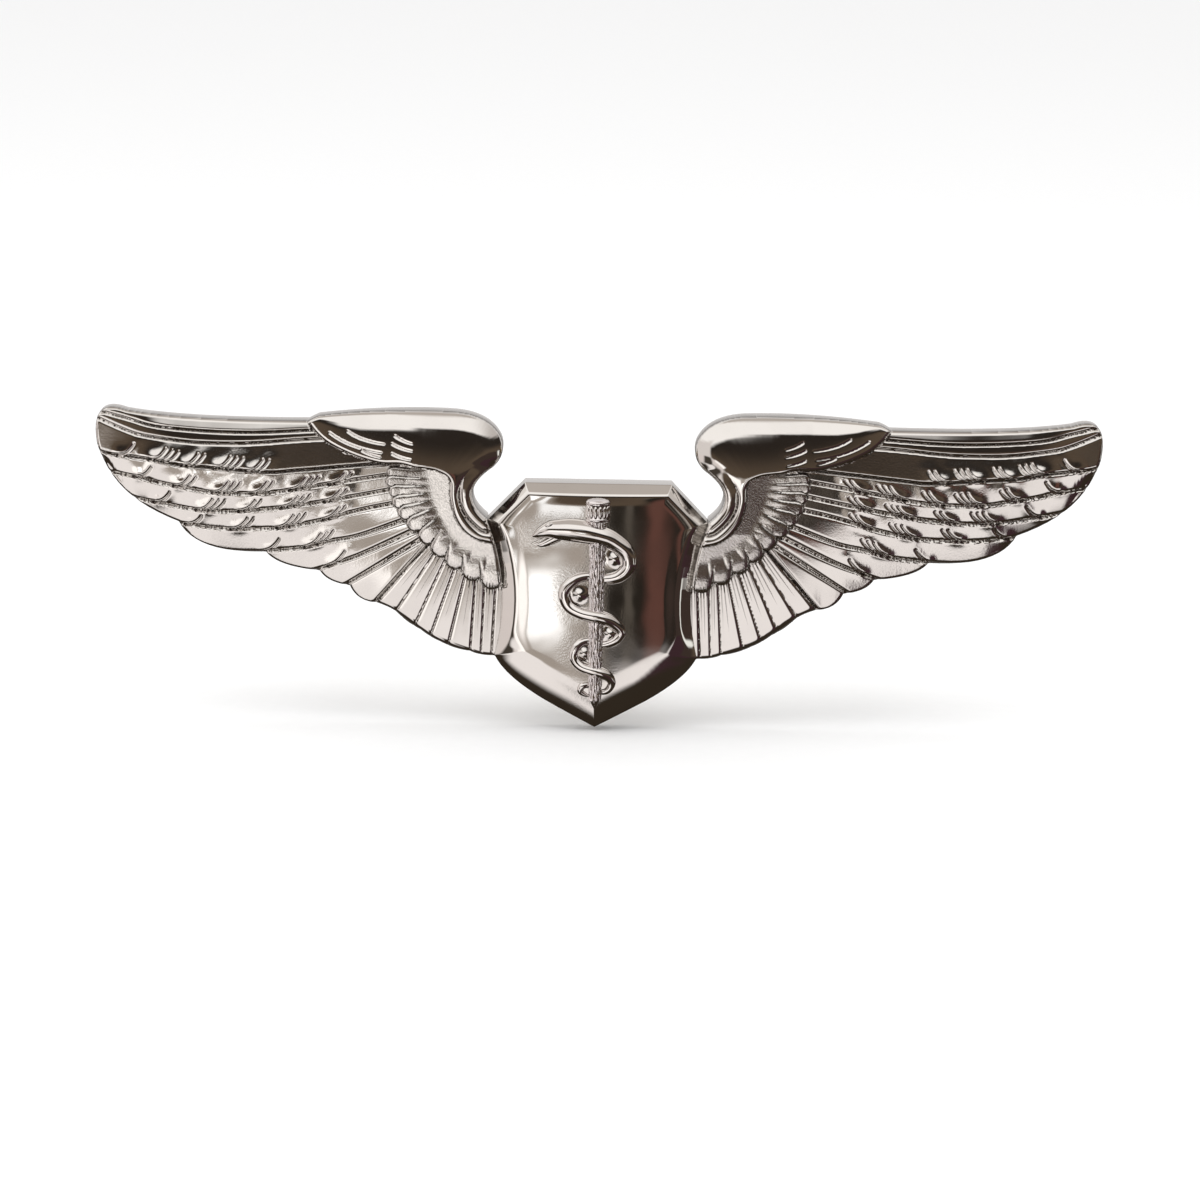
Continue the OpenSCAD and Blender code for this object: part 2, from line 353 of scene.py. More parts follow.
NICKEL = MetalFinish("polished_nickel", (0.80, 0.775, 0.75), (0.10, 0.085, 0.07), 0.04, ripple=0.09)
EMBLEM_NICKEL = MetalFinish("emblem_nickel", (0.82, 0.79, 0.77), (0.12, 0.10, 0.085), 0.05)
ROD_NICKEL = MetalFinish(
    "grained_rod_nickel", (0.84, 0.80, 0.80), (0.3, 0.26, 0.28), 0.12,
    draw=(1, 1, 0.12), line_depth=0.6, line_scale=7000.0,
)
POST_STEEL = MetalFinish(
    "drawn_post_wire", (0.62, 0.61, 0.59), (0.25, 0.24, 0.22), 0.2,
    draw=(1, 0.05, 1), line_depth=0.12,
)
SOLDER = MetalFinish("dull_solder", (0.5, 0.49, 0.47), (0.2, 0.19, 0.18), 0.42, smudge=0.2)
CLUTCH_BRASS = MetalFinish(
    "stamped_brass", (0.83, 0.62, 0.27), (0.32, 0.2, 0.08), 0.14,
    smudge=0.12, draw=(1, 1, 0.04), line_depth=0.06,
)
SPRING_BRASS = MetalFinish(
    "spring_brass", (0.76, 0.54, 0.23), (0.3, 0.18, 0.07), 0.24,
    smudge=0.12, draw=(0.04, 1, 1), line_depth=0.16,
)


# ---------------------------------------------------------------- making pieces


def new_piece(name: str, verts: np.ndarray, faces: Sequence[Sequence[int]], material: bpy.types.Material,
              sharp_degrees: float = 40.0) -> bpy.types.Object:
    """Make a mesh object from points in millimetres.

    Args:
        name: The piece's name.
        verts: Its points.
        faces: Its faces, outward.
        material: Its finish.
        sharp_degrees: Edges steeper than this stay sharp.

    Returns:
        The object, at the origin.
    """
    mesh = bpy.data.meshes.new(name)
    mesh.from_pydata((np.asarray(verts) * MM).tolist(), [], [list(map(int, f)) for f in faces])
    mesh.polygons.foreach_set("use_smooth", [True] * len(mesh.polygons))
    mesh.materials.append(material)
    mesh.update()
    mesh.set_sharp_from_angle(angle=math.radians(sharp_degrees))
    piece = bpy.data.objects.new(name, mesh)
    bpy.context.collection.objects.link(piece)
    return piece


def settle(piece: bpy.types.Object, body: str, slot: str, *nodes: str) -> None:
    """Let a piece ride on a body and stand for CAD nodes.

    Args:
        piece: The piece.
        body: The body that it rides on.
        slot: Not used.
        nodes: The CAD nodes that it replaces.
    """
    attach(piece, body)
    if nodes:
        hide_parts(*nodes)
    LOG.info("%s: %d faces on %s", piece.name, len(piece.data.polygons), body)


@dataclass
class Relief:
    """A struck plate: an outline, a worked front, upright walls and a hollow back.

    The hollow leaves a flat rim, and stays clear of the front by least_wall where body gives the plain
    depth of the plate. recess_gain sets how soon a valley of the front is darkened with painted shade.
    """

    name: str
    outline: np.ndarray
    depth: Callable[[np.ndarray], np.ndarray]
    seams: list[np.ndarray]
    pitch: float = 0.085
    rim: float = 1.05
    rim_step: float = 0.4
    hollow: float = 1.1
    least_wall: float = 0.75
    back_pitch: float = 0.6
    back_grain: float = 0.8
    grain: Callable[[np.ndarray], np.ndarray] | None = None
    body: Callable[[np.ndarray], np.ndarray] | None = None
    recess_gain: float = 9.0

    def _front_points(self) -> tuple[np.ndarray, int]:
        """Place the front's points.

        Returns:
            The points, those of the outline first, and how many are on the outline.
        """
        loop = resample(self.outline, self.pitch, closed=True)
        low, high = loop.min(0), loop.max(0)
        row = self.pitch * math.sqrt(0.75)
        xs = np.arange(low[0], high[0], self.pitch)
        zs = np.arange(low[1], high[1], row)
        grid = np.array([(x + (j % 2) * self.pitch / 2, z) for j, z in enumerate(zs) for x in xs])
        grid = grid[inside(grid, loop)]
        seam = np.vstack([resample(s, self.pitch) for s in self.seams]) if self.seams else np.empty((0, 2))
        if len(seam):
            seam = seam[inside(seam, loop)]
        fixed = kdtree.KDTree(len(loop) + len(seam))
        for i, p in enumerate(loop):
            fixed.insert((p[0], p[1], 0), i)
        fixed.balance()
        near = 0.62 * self.pitch
        seam = np.array([p for p in seam if fixed.find((p[0], p[1], 0))[2] > near]).reshape(-1, 2)
        fixed = kdtree.KDTree(len(loop) + len(seam))
        for i, p in enumerate(np.vstack([loop, seam])):
            fixed.insert((p[0], p[1], 0), i)
        fixed.balance()
        grid = np.array([p for p in grid if fixed.find((p[0], p[1], 0))[2] > near])
        return np.vstack([loop, seam, grid]), len(loop)

    @staticmethod
    def _triangles(points: np.ndarray, loop_count: int) -> tuple[np.ndarray, list]:
        """Fill the outline with triangles.

        Args:
            points: All points, those of the outline first.
            loop_count: How many are on the outline.

        Returns:
            The points used, the outline's still first, and the triangles.
        """
        edges = [(i, (i + 1) % loop_count) for i in range(loop_count)]
        verts, _, faces, origin, _, _ = delaunay_2d_cdt([Vector(p) for p in points], edges, [], 1, 1e-7)
        first = {}
        for new, olds in enumerate(origin):
            for old in olds:
                first[old] = new
        order = [first[i] for i in range(loop_count)]
        taken = set(order)
        rest = [i for i in range(len(verts)) if i not in taken]
        place = {old: new for new, old in enumerate(order + rest)}
        flat = np.array([verts[i][:] for i in order + rest])
        return flat, [[place[i] for i in f] for f in faces]

    def build(self, material: bpy.types.Material, mirrored: bool = False) -> bpy.types.Object:
        """Build the plate.

        Args:
            material: Its finish.
            mirrored: Whether x is turned round.

        Returns:
            The piece.
        """
        points, count = self._front_points()
        front, front_faces = self._triangles(points, count)
        loop = front[:count]
        back_points = self._back_points(loop)
        back, back_faces = self._triangles(np.vstack([loop, back_points]), count)
        top = self.depth(front)
        from_edge, _ = to_path(back, loop, closed=True)
        room = self.hollow
        if self.body:
            room = np.clip(self.body(back) - self.least_wall, 0, self.hollow)
        sunk = room * ease((from_edge - self.rim) / self.rim_step)
        everything = np.vstack([
            np.column_stack([front[:, 0], -top, front[:, 1]]),
            np.column_stack([back[:, 0], -sunk, back[:, 1]]),
        ])
        start = len(front)
        faces = [list(f) for f in front_faces]
        faces += [[start + i for i in reversed(f)] for f in back_faces]
        for i in range(count):
            j = (i + 1) % count
            faces.append([i, start + i, start + j, j])
        # Painted shade: valleys of the front get a recess value that darkens their colour; the back gets
        # none.
        recess = np.concatenate([self._recess(front, top, front_faces), np.zeros(len(back))])
        if mirrored:
            everything[:, 0] *= -1
            faces = [f[::-1] for f in faces]
        piece = new_piece(self.name, everything, faces, material)
        turned = bmesh.new()
        turned.from_mesh(piece.data)
        bmesh.ops.recalc_face_normals(turned, faces=turned.faces[:])
        turned.to_mesh(piece.data)
        turned.free()
        self._paint(piece, "recess", recess)
        if self.grain:
            grain = np.concatenate([self.grain(front), np.full(len(back), self.back_grain)])
            self._paint(piece, "grain", grain)
        return piece

    def _back_points(self, loop: np.ndarray) -> np.ndarray:
        """Place the back's inner points: lines along the rim's inner edge, and a coarse grid."""
        after = np.roll(loop, -1, axis=0)
        turn = 1 if (loop[:, 0] * after[:, 1] - loop[:, 1] * after[:, 0]).sum() > 0 else -1
        ahead = (after - loop) / np.linalg.norm(after - loop, axis=1)[:, None]
        behind = np.roll(ahead, 1, axis=0)
        bent = (ahead * behind).sum(1) < 0.99
        straight = ~bent & (np.arange(len(loop)) % 2 == 0)
        kept = []
        for d in np.linspace(self.rim, self.rim + self.rim_step, 4):
            for share in np.linspace(0, 1, 7):
                picked = bent | straight if share == 0.5 else bent
                along = (behind * (1 - share) + ahead * share)[picked]
                along /= np.linalg.norm(along, axis=1)[:, None]
                line = loop[picked] + np.column_stack([-along[:, 1], along[:, 0]]) * turn * d
                gap, _ = to_path(line, loop, closed=True)
                kept.append(line[(gap > d - 0.02) & inside(line, loop)])
        low, high = loop.min(0), loop.max(0)
        xs, zs = np.arange(low[0], high[0], self.back_pitch), np.arange(low[1], high[1], self.back_pitch)
        grid = np.array([(x, z) for x in xs for z in zs])
        grid = grid[inside(grid, loop)]
        gap, _ = to_path(grid, loop, closed=True)
        from_step = np.abs(gap - self.rim - self.rim_step / 2)
        kept.append(grid[(gap > 0.3) & (from_step > self.rim_step / 2 + 0.12)])
        return np.vstack(kept)

    def _recess(self, flat: np.ndarray, top: np.ndarray, faces: list) -> np.ndarray:
        """Measure how far each point lies in a valley of the front, for the painted shade that darkens it."""
        tri = np.array(faces)
        pairs = np.vstack([tri[:, [0, 1]], tri[:, [1, 2]], tri[:, [2, 0]]])
        total, count = np.zeros(len(flat)), np.zeros(len(flat))
        for a, b in ((pairs[:, 0], pairs[:, 1]), (pairs[:, 1], pairs[:, 0])):
            np.add.at(total, a, top[b])
            np.add.at(count, a, 1)
        lift = total / np.maximum(count, 1) - top
        return np.clip(lift * self.recess_gain, 0, 1)

    @staticmethod
    def _paint(piece: bpy.types.Object, name: str, values: np.ndarray) -> None:
        """Store one number for each point of a piece."""
        layer = piece.data.attributes.new(name, "FLOAT", "POINT")
        layer.data.foreach_set("value", values.astype(np.float32))


# ---------------------------------------------------------------- sweeps and rings


class Tree:
    """A Geometry Nodes tree with named inputs, run once on an object."""

    def __init__(self, name: str, inputs: dict[str, str]) -> None:
        """Make the tree and its sockets.

        Args:
            name: The tree's name.
            inputs: Socket type by input name.
        """
        self.group = bpy.data.node_groups.new(name, "GeometryNodeTree")
        self.kit = NodeKit(self.group)
        sides = {"Geometry": "NodeSocketGeometry", **inputs}
        self.names = {
            key: self.group.interface.new_socket(key, in_out="INPUT", socket_type=kind).identifier
            for key, kind in sides.items()
        }
        self.group.interface.new_socket("Geometry", in_out="OUTPUT", socket_type="NodeSocketGeometry")
        self._given = self.group.nodes.new("NodeGroupInput")

    def given(self, key: str) -> Value:
        """Give the socket of an input."""
        return Value(self.kit, self._given.outputs[key])

    def close(self, shape: Value) -> None:
        """End the tree: smooth, realized and in its finish."""
        finish = self.given("Finish")
        shape = self.kit.node("GeometryNodeSetShadeSmooth", {}, {"Geometry": shape, "Shade Smooth": True})
        shape = self.kit.node("GeometryNodeRealizeInstances", {}, {"Geometry": shape})
        shape = self.kit.node("GeometryNodeSetMaterial", {}, {"Geometry": shape, "Material": finish})
        self.kit.node("NodeGroupOutput", {}, {"Geometry": shape})

    def run(self, piece: bpy.types.Object, **inputs: Any) -> bpy.types.Object:
        """Run the tree on an object and keep its result as a plain closed mesh.

        Args:
            piece: The object that feeds the tree.
            inputs: A value for each input, with _ for a space in its name.

        Returns:
            The same object.
        """
        modifier = piece.modifiers.new(self.group.name, "NODES")
        modifier.node_group = self.group
        for key, given in inputs.items():
            modifier[self.names[key.replace("_", " ")]] = given
        deps = bpy.context.evaluated_depsgraph_get()
        mesh = bpy.data.meshes.new_from_object(
            piece.evaluated_get(deps), preserve_all_data_layers=True, depsgraph=deps
        )
        piece.modifiers.clear()
        old, piece.data = piece.data, mesh
        bpy.data.meshes.remove(old)
        close_up(piece)
        return piece


def close_up(piece: bpy.types.Object, gap: float = 0.002) -> None:
    """Merge a mesh's doubled points, gap in millimetres, and turn its faces outward."""
    work = bmesh.new()
    work.from_mesh(piece.data)
    bmesh.ops.remove_doubles(work, verts=work.verts[:], dist=gap * MM)
    bmesh.ops.recalc_face_normals(work, faces=work.faces[:])
    work.to_mesh(piece.data)
    work.free()


def sweep_tree() -> Tree:
    """Make the tree that draws a round body along lines, as thick as each point says."""
    tree = Tree("sweep", {"Sides": "NodeSocketInt", "Finish": "NodeSocketMaterial"})
    kit = tree.kit
    line = kit.node("GeometryNodeMeshToCurve", {}, {"Mesh": tree.given("Geometry")})
    sides = tree.given("Sides")
    ring = kit.node("GeometryNodeCurvePrimitiveCircle", {}, {"Resolution": sides, "Radius": MM})
    thick = kit.node(
        "GeometryNodeInputNamedAttribute", {"data_type": "FLOAT"}, {"Name": "half_width"}, out="Attribute"
    )
    body = kit.node(
        "GeometryNodeCurveToMesh", {},
        {"Curve": line, "Profile Curve": ring, "Scale": thick, "Fill Caps": True},
    )
    tree.close(body)
    return tree


def rib_ring_tree() -> Tree:
    """Make the tree that sets upright ribs round a knob."""
    tree = Tree(
        "rib_ring",
        {
            "Ribs": "NodeSocketInt", "Ring Radius": "NodeSocketFloat", "Rib Radius": "NodeSocketFloat",
            "Rib Stretch": "NodeSocketFloat", "Place": "NodeSocketVector", "Finish": "NodeSocketMaterial",
        },
    )
    kit = tree.kit
    ring = kit.node(
        "GeometryNodeMeshCircle", {}, {"Vertices": tree.given("Ribs"), "Radius": tree.given("Ring Radius")}
    )
    rib = kit.node(
        "GeometryNodeMeshUVSphere", {}, {"Segments": 8, "Rings": 6, "Radius": tree.given("Rib Radius")}
    )
    stretch = kit.node("ShaderNodeCombineXYZ", {}, {"X": 1.0, "Y": 1.0, "Z": tree.given("Rib Stretch")})
    tall = kit.node("GeometryNodeTransform", {}, {"Geometry": rib, "Scale": stretch})
    ribs = kit.node("GeometryNodeInstanceOnPoints", {}, {"Points": ring, "Instance": tall})
    placed = kit.node("GeometryNodeTransform", {}, {"Geometry": ribs, "Translation": tree.given("Place")})
    tree.close(placed)
    return tree


def swept(tree: Tree, name: str, lines: Sequence[np.ndarray], material: bpy.types.Material,
          sides: int = 12) -> bpy.types.Object:
    """Sweep a round body along lines.

    Args:
        tree: The sweep tree.
        name: The piece's name.
        lines: Each an array of x, y, z and half width, in millimetres.
        material: The finish.
        sides: Sides of the body's section.

    Returns:
        The piece.
    """
    points = np.vstack(lines)
    starts = np.cumsum([0] + [len(line) for line in lines])
    edges = [(i, i + 1) for a, b in zip(starts[:-1], starts[1:]) for i in range(a, b - 1)]
    mesh = bpy.data.meshes.new(name)
    mesh.from_pydata((points[:, :3] * MM).tolist(), edges, [])
    width = mesh.attributes.new("half_width", "FLOAT", "POINT")
    width.data.foreach_set("value", points[:, 3].astype(np.float32))
    piece = bpy.data.objects.new(name, mesh)
    bpy.context.collection.objects.link(piece)
    return tree.run(piece, Sides=sides, Finish=material)


# ---------------------------------------------------------------- the struck badge


class Side(Enum):
    """Which side of the badge a wing is on, as the viewer sees it."""

    LEFT = "left"
    RIGHT = "right"


# Knots of the edges, in millimetres, as the design has them: x to the viewer's right, z up.
# Every second point is a knot; the one between two knots pulls the edge outwards.
WING_EDGE = (
    (8.0, 3.7), (9.15, 4.5), (9.4, 5.2), (9.9, 6.6), (8.0, 7.8), (6.9, 8.8), (7.45, 10.1),
    (8.4, 11.9), (11.5, 11.95), (16, 12.1), (21.2, 11.45), (21.6, 11.3), (22.0, 11.05),
    (31.5, 10.9), (35.8, 11.6), (38.6, 12.6), (38.0, 9.1), (36.95, 4.9), (31.9, 3.0),
    (30.6, 0.5), (25.2, 0.75), (24.4, -0.35), (21.1, -0.6), (20.6, -1.5), (18.8, -1.7),
    (18.3, -2.9), (16.7, -3.0), (15.6, -3.3), (15.1, -3.8), (14.4, -4.6), (13.4, -5.0),
    (12.7, -5.6), (11.9, -5.9), (10.9, -6.5), (9.6, -6.6), (8.8, -7.0), (7.3, -6.9),
)
SHIELD_EDGE = (
    (5.55, 6.68), (6.95, 5.23), (8.35, 3.78), (6.35, -1.2), (7.7, -6.6),
    (6.95, -8.2), (3.9, -10.0), (1.95, -11.08), (0, -12.1),
)


def shield_loop() -> np.ndarray:
    """Give the shield's outline, clockwise from its top right corner."""
    half = bow_chain(SHIELD_EDGE, 12)
    return np.vstack([half, (half * (-1, 1))[-2::-1]])


def near_line(p: np.ndarray, line: np.ndarray, reach: float) -> tuple[np.ndarray, np.ndarray, np.ndarray]:
    """Find the points close to a line.

    Args:
        p: Points.
        line: The line's points.
        reach: How far to look.

    Returns:
        The indices of the points in the line's surroundings, their distance, and their share along it.
    """
    low, high = line.min(0) - reach, line.max(0) + reach
    at = np.nonzero(((p >= low) & (p <= high)).all(1))[0]
    if not len(at):
        return at, np.empty(0), np.empty(0)
    gap, share = to_path(p[at], line)
    return at, gap, share


@dataclass
class Wing:
    """One struck wing, drawn for the viewer's right and mirrored for the left."""

    side: Side
    arm_depth: float = 3.45
    lead_depth: float = 2.1
    tip_depth: float = 1.9
    root_trail_depth: float = 1.13
    tip_trail_depth: float = 0.85
    tip_rise: float = 0.75
    fall_power: float = 1.5
    least_depth: float = 0.6
    row_cut: float = 0.2
    # How far each row rises towards its lower edge: the first three, then the rest.
    row_shingle: tuple = (0.28, 0.17, 0.34, 0.1)
    flick_cut: float = 0.2
    flick_swell: float = 0.07
    edge_round: float = 0.22
    # The same beside the shield, where the wing stands higher than high_ground.
    wall_round: float = 0.3
    high_ground: float = 2.4
    covert_ground: float = 2.8
    covert_swell: float = 0.24
    fan_swell: float = 0.2
    arm_roll_width: float = 1.5
    collar_width: float = 1.05
    stroke_cut: float = 0.075
    barb_r: float = 0.075
    rib_r: float = 0.06
    # Lines between the rows of long feathers, from the wing's leading edge down: knots (x, z).
    rows: tuple = (
        (
            (13, 10.9), (21.7, 10.35), (25.6, 10.12), (28.7, 10.1),
            (31.7, 10.25), (34.0, 10.5), (35.5, 10.9), (37.4, 11.4),
        ),
        (
            (13, 10.2), (21.7, 9.65), (26.4, 9.25), (30.2, 9.22),
            (32.5, 9.42), (34.8, 9.75), (36.3, 10.25), (37.8, 10.9),
        ),
        (
            (13, 8.2), (18.0, 7.75), (22.6, 7.28), (25.2, 7.07), (29.0, 7.32),
            (31.7, 7.5), (34.0, 7.9), (36.8, 8.2), (38, 8.5),
        ),
        (
            (13, 7.5), (18.0, 6.65), (22.4, 5.87), (25.0, 5.45),
            (28.8, 5.36), (32.8, 5.97), (34.9, 6.45), (37, 6.8),
        ),
        (
            (13, 6.6), (15.9, 5.85), (20.3, 4.95), (22.5, 4.55),
            (25.7, 4.1), (29.5, 3.9), (33.6, 4.5), (35.6, 4.9),
        ),
        ((13, 5.3), (15.5, 4.8), (18, 4.25), (21.3, 3.3), (24, 2.74), (27.1, 2.53), (29.8, 2.64), (33, 3.0)),
        ((13, 4.0), (14.7, 3.5), (18, 2.28), (20.3, 1.75), (22.4, 1.2), (25.2, 0.84), (27, 0.7)),
        ((13, 3.1), (14.06, 2.65), (18, 0.75), (21.0, -0.4), (22, -0.7)),
        ((13, 2.3), (13.5, 1.97), (18.8, -1.43), (19.5, -1.8)),
        ((12.6, 1.7), (13.07, 1.35), (16.65, -2.75), (17.2, -3.3)),
    )
    # Notches where one vane of a row ends: row line, the outermost one's x, their pitch and number.
    notches: tuple = (
        (2, 35.6, 2.45, 5), (3, 34.3, 2.95, 6), (4, 32.9, 3.25, 5),
        (5, 30.5, 3.5, 4), (6, 24.6, 3.2, 2), (7, 19.6, 2.4, 1),
    )
    # Soft strokes in the arm's face: start, bow and end.
    arm_strokes: tuple = (
        ((20.4, 10.2), (18.9, 9.1), (16.4, 8.85)), ((19.0, 10.35), (18.0, 9.65), (16.2, 9.5)),
        ((17.9, 8.95), (17.2, 8.6), (16.5, 8.5)), ((15.4, 10.15), (14.9, 9.8), (14.1, 9.6)),
        ((15.6, 9.55), (15.0, 9.2), (14.1, 9.05)), ((15.6, 8.8), (15.0, 8.5), (14.2, 8.4)),
    )
    # The arm's inner edge, from the wrist under the arm and down the neck to the shield.
    arm_inner: tuple = (
        (22.1, 11.0), (21.4, 10.1), (20.4, 9.3), (18.6, 8.5), (16.6, 8.0), (15.0, 8.0), (13.8, 7.75),
        (12.2, 7.5), (11.3, 6.9), (11.2, 5.5), (10.8, 4.0), (10.0, 2.85), (8.8, 2.2), (7.2, 1.95), (5.9, 1.9),
    )
    # Covert feathers, first the one nearest the arm: tip (x, z), root (x, z), half width.
    coverts: tuple = (
        ((16.0, 7.3), (12.2, 6.9), 0.5), ((16.1, 6.6), (12.0, 6.3), 0.5),
        ((15.85, 5.8), (11.9, 5.8), 0.56), ((15.6, 4.95), (11.8, 5.3), 0.6),
        ((15.15, 4.1), (11.6, 4.8), 0.66), ((14.45, 3.15), (11.4, 4.3), 0.74),
        ((13.45, 2.05), (11.1, 3.7), 0.84), ((12.35, 0.95), (10.7, 3.0), 0.9),
        ((11.0, -0.1), (10.1, 2.3), 0.9), ((9.5, -1.0), (9.2, 1.8), 0.9),
        ((7.95, -1.6), (8.0, 1.4), 0.9), ((6.5, -1.75), (6.7, 1.4), 0.9),
    )
    # The fan's feathers: their edges as shares of its spread, and the curves of their roots and tails.
    fan_marks: tuple = (0, 0.13, 0.26, 0.385, 0.5, 0.61, 0.715, 0.81, 0.9, 1.0)
    fan_roots: tuple = ((13.3, 2.0), (12.6, 1.4), (11.4, 0.6), (10.0, -0.2), (8.6, -0.8), (6.9, -1.0))
    fan_tails: tuple = (
        (17.2, -2.6), (16.7, -3.1), (15.1, -3.9), (13.4, -5.1),
        (11.9, -6.0), (9.6, -6.8), (8.4, -7.1), (7.0, -7.1),
    )
    # Fine ribs on each feather of the fan: place across it, and how far down it they reach.
    ribs: tuple = ((0.24, 0.55), (0.5, 0.88), (0.76, 0.6))
    outline: np.ndarray = field(init=False)

    def __post_init__(self) -> None:
        """Work out the outline, which stops at the shield's wall, and the lines on it."""
        edge = bow_chain(WING_EDGE, 12)
        self._shield = shield_loop()
        edge = edge[~inside(edge, self._shield)]
        self.outline = np.vstack([edge, bow_chain(SHIELD_EDGE[2:5], 16)[::-1]])
        tip = int(edge[:, 0].argmax())
        top = edge[: tip + 1]
        self._top = top[top[:, 0].argmin() :]
        self._foot = edge[tip:][::-1]
        self._lines = [through(r, 8) for r in self.rows]
        self._inner = through(self.arm_inner, 6)
        shoulder = bow_chain(WING_EDGE[:13], 12)
        self._shoulder = shoulder[~inside(shoulder, self._shield)]
        self._arm_loop = np.vstack([self._shoulder, self._inner])

    def top_edge(self, x: np.ndarray) -> np.ndarray:
        """Height of the leading edge at x."""
        return np.interp(x, self._top[:, 0], self._top[:, 1])

    def foot_edge(self, x: np.ndarray) -> np.ndarray:
        """Height of the trailing edge at x."""
        return np.interp(x, self._foot[:, 0], self._foot[:, 1])

    def soft_foot(self, x: np.ndarray) -> np.ndarray:
        """Height of the trailing edge at x with its scallops smoothed out."""
        return np.mean([self.foot_edge(x + step) for step in np.linspace(-2, 2, 17)], axis=0)

    def row_line(self, index: int, x: np.ndarray) -> np.ndarray:
        """Height of a line between two rows at x."""
        return np.interp(x, self._lines[index][:, 0], self._lines[index][:, 1])

    def base_depth(self, p: np.ndarray) -> np.ndarray:
        """Depth of the wing without its feathers."""
        x, z = p[:, 0], p[:, 1]
        lead = self.lead_depth - (self.lead_depth - self.tip_depth) * ease((x - 22) / 16)
        trail = self.root_trail_depth - (self.root_trail_depth - self.tip_trail_depth) * ease((x - 14) / 16)
        trail = trail + self.tip_rise * ease((x - 31) / 7)
        start, foot = self.row_line(2, x), self.soft_foot(x)
        down = np.clip((start - z) / np.maximum(start - foot, 0.4), 0, 1)
        return lead + (trail - lead) * down**self.fall_power

    def depth(self, p: np.ndarray) -> np.ndarray:
        """Depth of the wing's front at points (x, z)."""
        base = self.base_depth(p)
        out = base + self._rows_relief(p)
        for path, cut in self._notch_lines():
            self._carve(p, out, path + (-0.25, 0.2), 0.42, -self.flick_swell * cut / self.flick_cut)
            self._carve(p, out, path, 0.1, cut)
        low = (p[:, 0] < 17.4) & (p[:, 1] < self.row_line(9, p[:, 0]))
        out = np.where(low, base + self._fan(p), out)
        ground = self.covert_ground - 0.1 * (p[:, 0] - 8) - 0.1 * np.clip(3 - p[:, 1], 0, None)
        ground = np.maximum(ground, base + 0.08)
        shoulder = inside(p, self._covert_loop(0.86))
        out = np.where(shoulder, ground + 0.1, out)
        for tip, root, half in self.coverts:
            out = self._covert(p, out, ground, np.array(tip), np.array(root), half)
        out = self._arm(p, out)
        from_shield, _ = to_path(p, self._shield, closed=True)
        near = np.clip(1 - from_shield / self.wall_round, 0, 1)
        out = out - np.where(out > self.high_ground, self.wall_round * (1 - np.sqrt(1 - near**2)), 0)
        gap, _ = to_path(p, self.outline, closed=True)
        free = ~inside(p, self._shield * (1.03, 1.0))
        share = np.clip(gap / self.edge_round, 0, 1)
        out = out - np.where(free, self.edge_round * (1 - np.sqrt(1 - (1 - share) ** 2)), 0)
        return np.maximum(out, self.least_depth)

    def _rows_relief(self, p: np.ndarray) -> np.ndarray:
        """Shingled rows of long feathers, with a cut along each line between them."""
        x, z = p[:, 0], p[:, 1]
        foot, above = self.soft_foot(x) - 0.9, self.top_edge(x)
        shingle, cut = np.zeros(len(p)), np.zeros(len(p))
        for index in range(len(self.rows)):
            line = np.maximum(self.row_line(index, x), foot)
            slope = (self.row_line(index, x + 0.05) - self.row_line(index, x - 0.05)) / 0.1
            gap = (z - line) / np.sqrt(1 + slope**2)
            thick = np.maximum(above - line, 0.03)
            w = (above - z) / thick
            full = 0.9 if index < 3 else 2.2
            lift = self.row_shingle[min(index, 3)] * np.clip(thick / full, 0, 1)
            lift = lift * (1 - 0.6 * ease((x - 32) / 4))
            here = (w > 0) & (w <= 1)
            shingle = np.where(here, lift * w, shingle)
            near_root = 1 + 0.5 * (1 - ease((x - 14.5) / 5)) * ease((index - 4) / 3)
            wide = np.where(gap > 0, 0.13, 0.09) * near_root
            deep = self.row_cut * (0.8 if index < 2 else 1.0)
            cut = np.maximum(cut, deep * np.exp(-((gap / wide) ** 2)))
            above = line
        return shingle - cut

    def _notch_lines(self, offset: float = 0.0) -> list[tuple[np.ndarray, float]]:
        """Paths of the notches at the ends of the vanes.

        Args:
            offset: How far to move each path towards the leading edge and the body.

        Returns:
            Each path with the depth of its cut; the first of a pair is the deeper.
        """
        paths = []
        for index, first, pitch, count in self.notches:
            for k in range(count):
                x0 = first - k * pitch
                twins = 1 if k == 0 else 2 + (k + index) % 2
                for twin in range(twins):
                    x = x0 - 0.48 * twin
                    here, low, mid = (float(self.row_line(index, x + step)) for step in (0, 0.85, 0.1))
                    tall = min(0.95, 0.62 * (float(self.row_line(index - 1, x)) - here))
                    knots = ((x + 0.85, low + 0.02), (x + 0.1, mid + 0.04), (x - 0.4, mid + tall))
                    path = bow_chain(knots, 6) + np.array((-0.6, 0.8)) * offset
                    paths.append((path, self.flick_cut * (1.0 if twin == 0 else 0.75)))
        return paths

    @staticmethod
    def _carve(p: np.ndarray, out: np.ndarray, path: np.ndarray, width: float, cut: float) -> None:
        """Carve a groove that fades at its far end, in place.

        Args:
            p: Points.
            out: Their depth, which is changed.
            path: The groove's line.
            width: Half its width.
            cut: How deep it is.
        """
        at, gap, share = near_line(p, path, 3 * width)
        if len(at):
            out[at] -= cut * np.exp(-((gap / width) ** 2)) * (1 - 0.6 * share)

    def _fan_spread(self) -> tuple[np.ndarray, np.ndarray, np.ndarray]:
        """Give the fan's shares, and the root and tail of its feathers at each."""
        share = np.linspace(0, 1, 200)
        ends = []
        for knots in (self.fan_roots, self.fan_tails):
            line = through(knots, 8)
            at = np.linspace(0, 1, len(line))
            ends.append(np.stack([np.interp(share, at, line[:, i]) for i in (0, 1)], 1))
        return share, ends[0], ends[1]

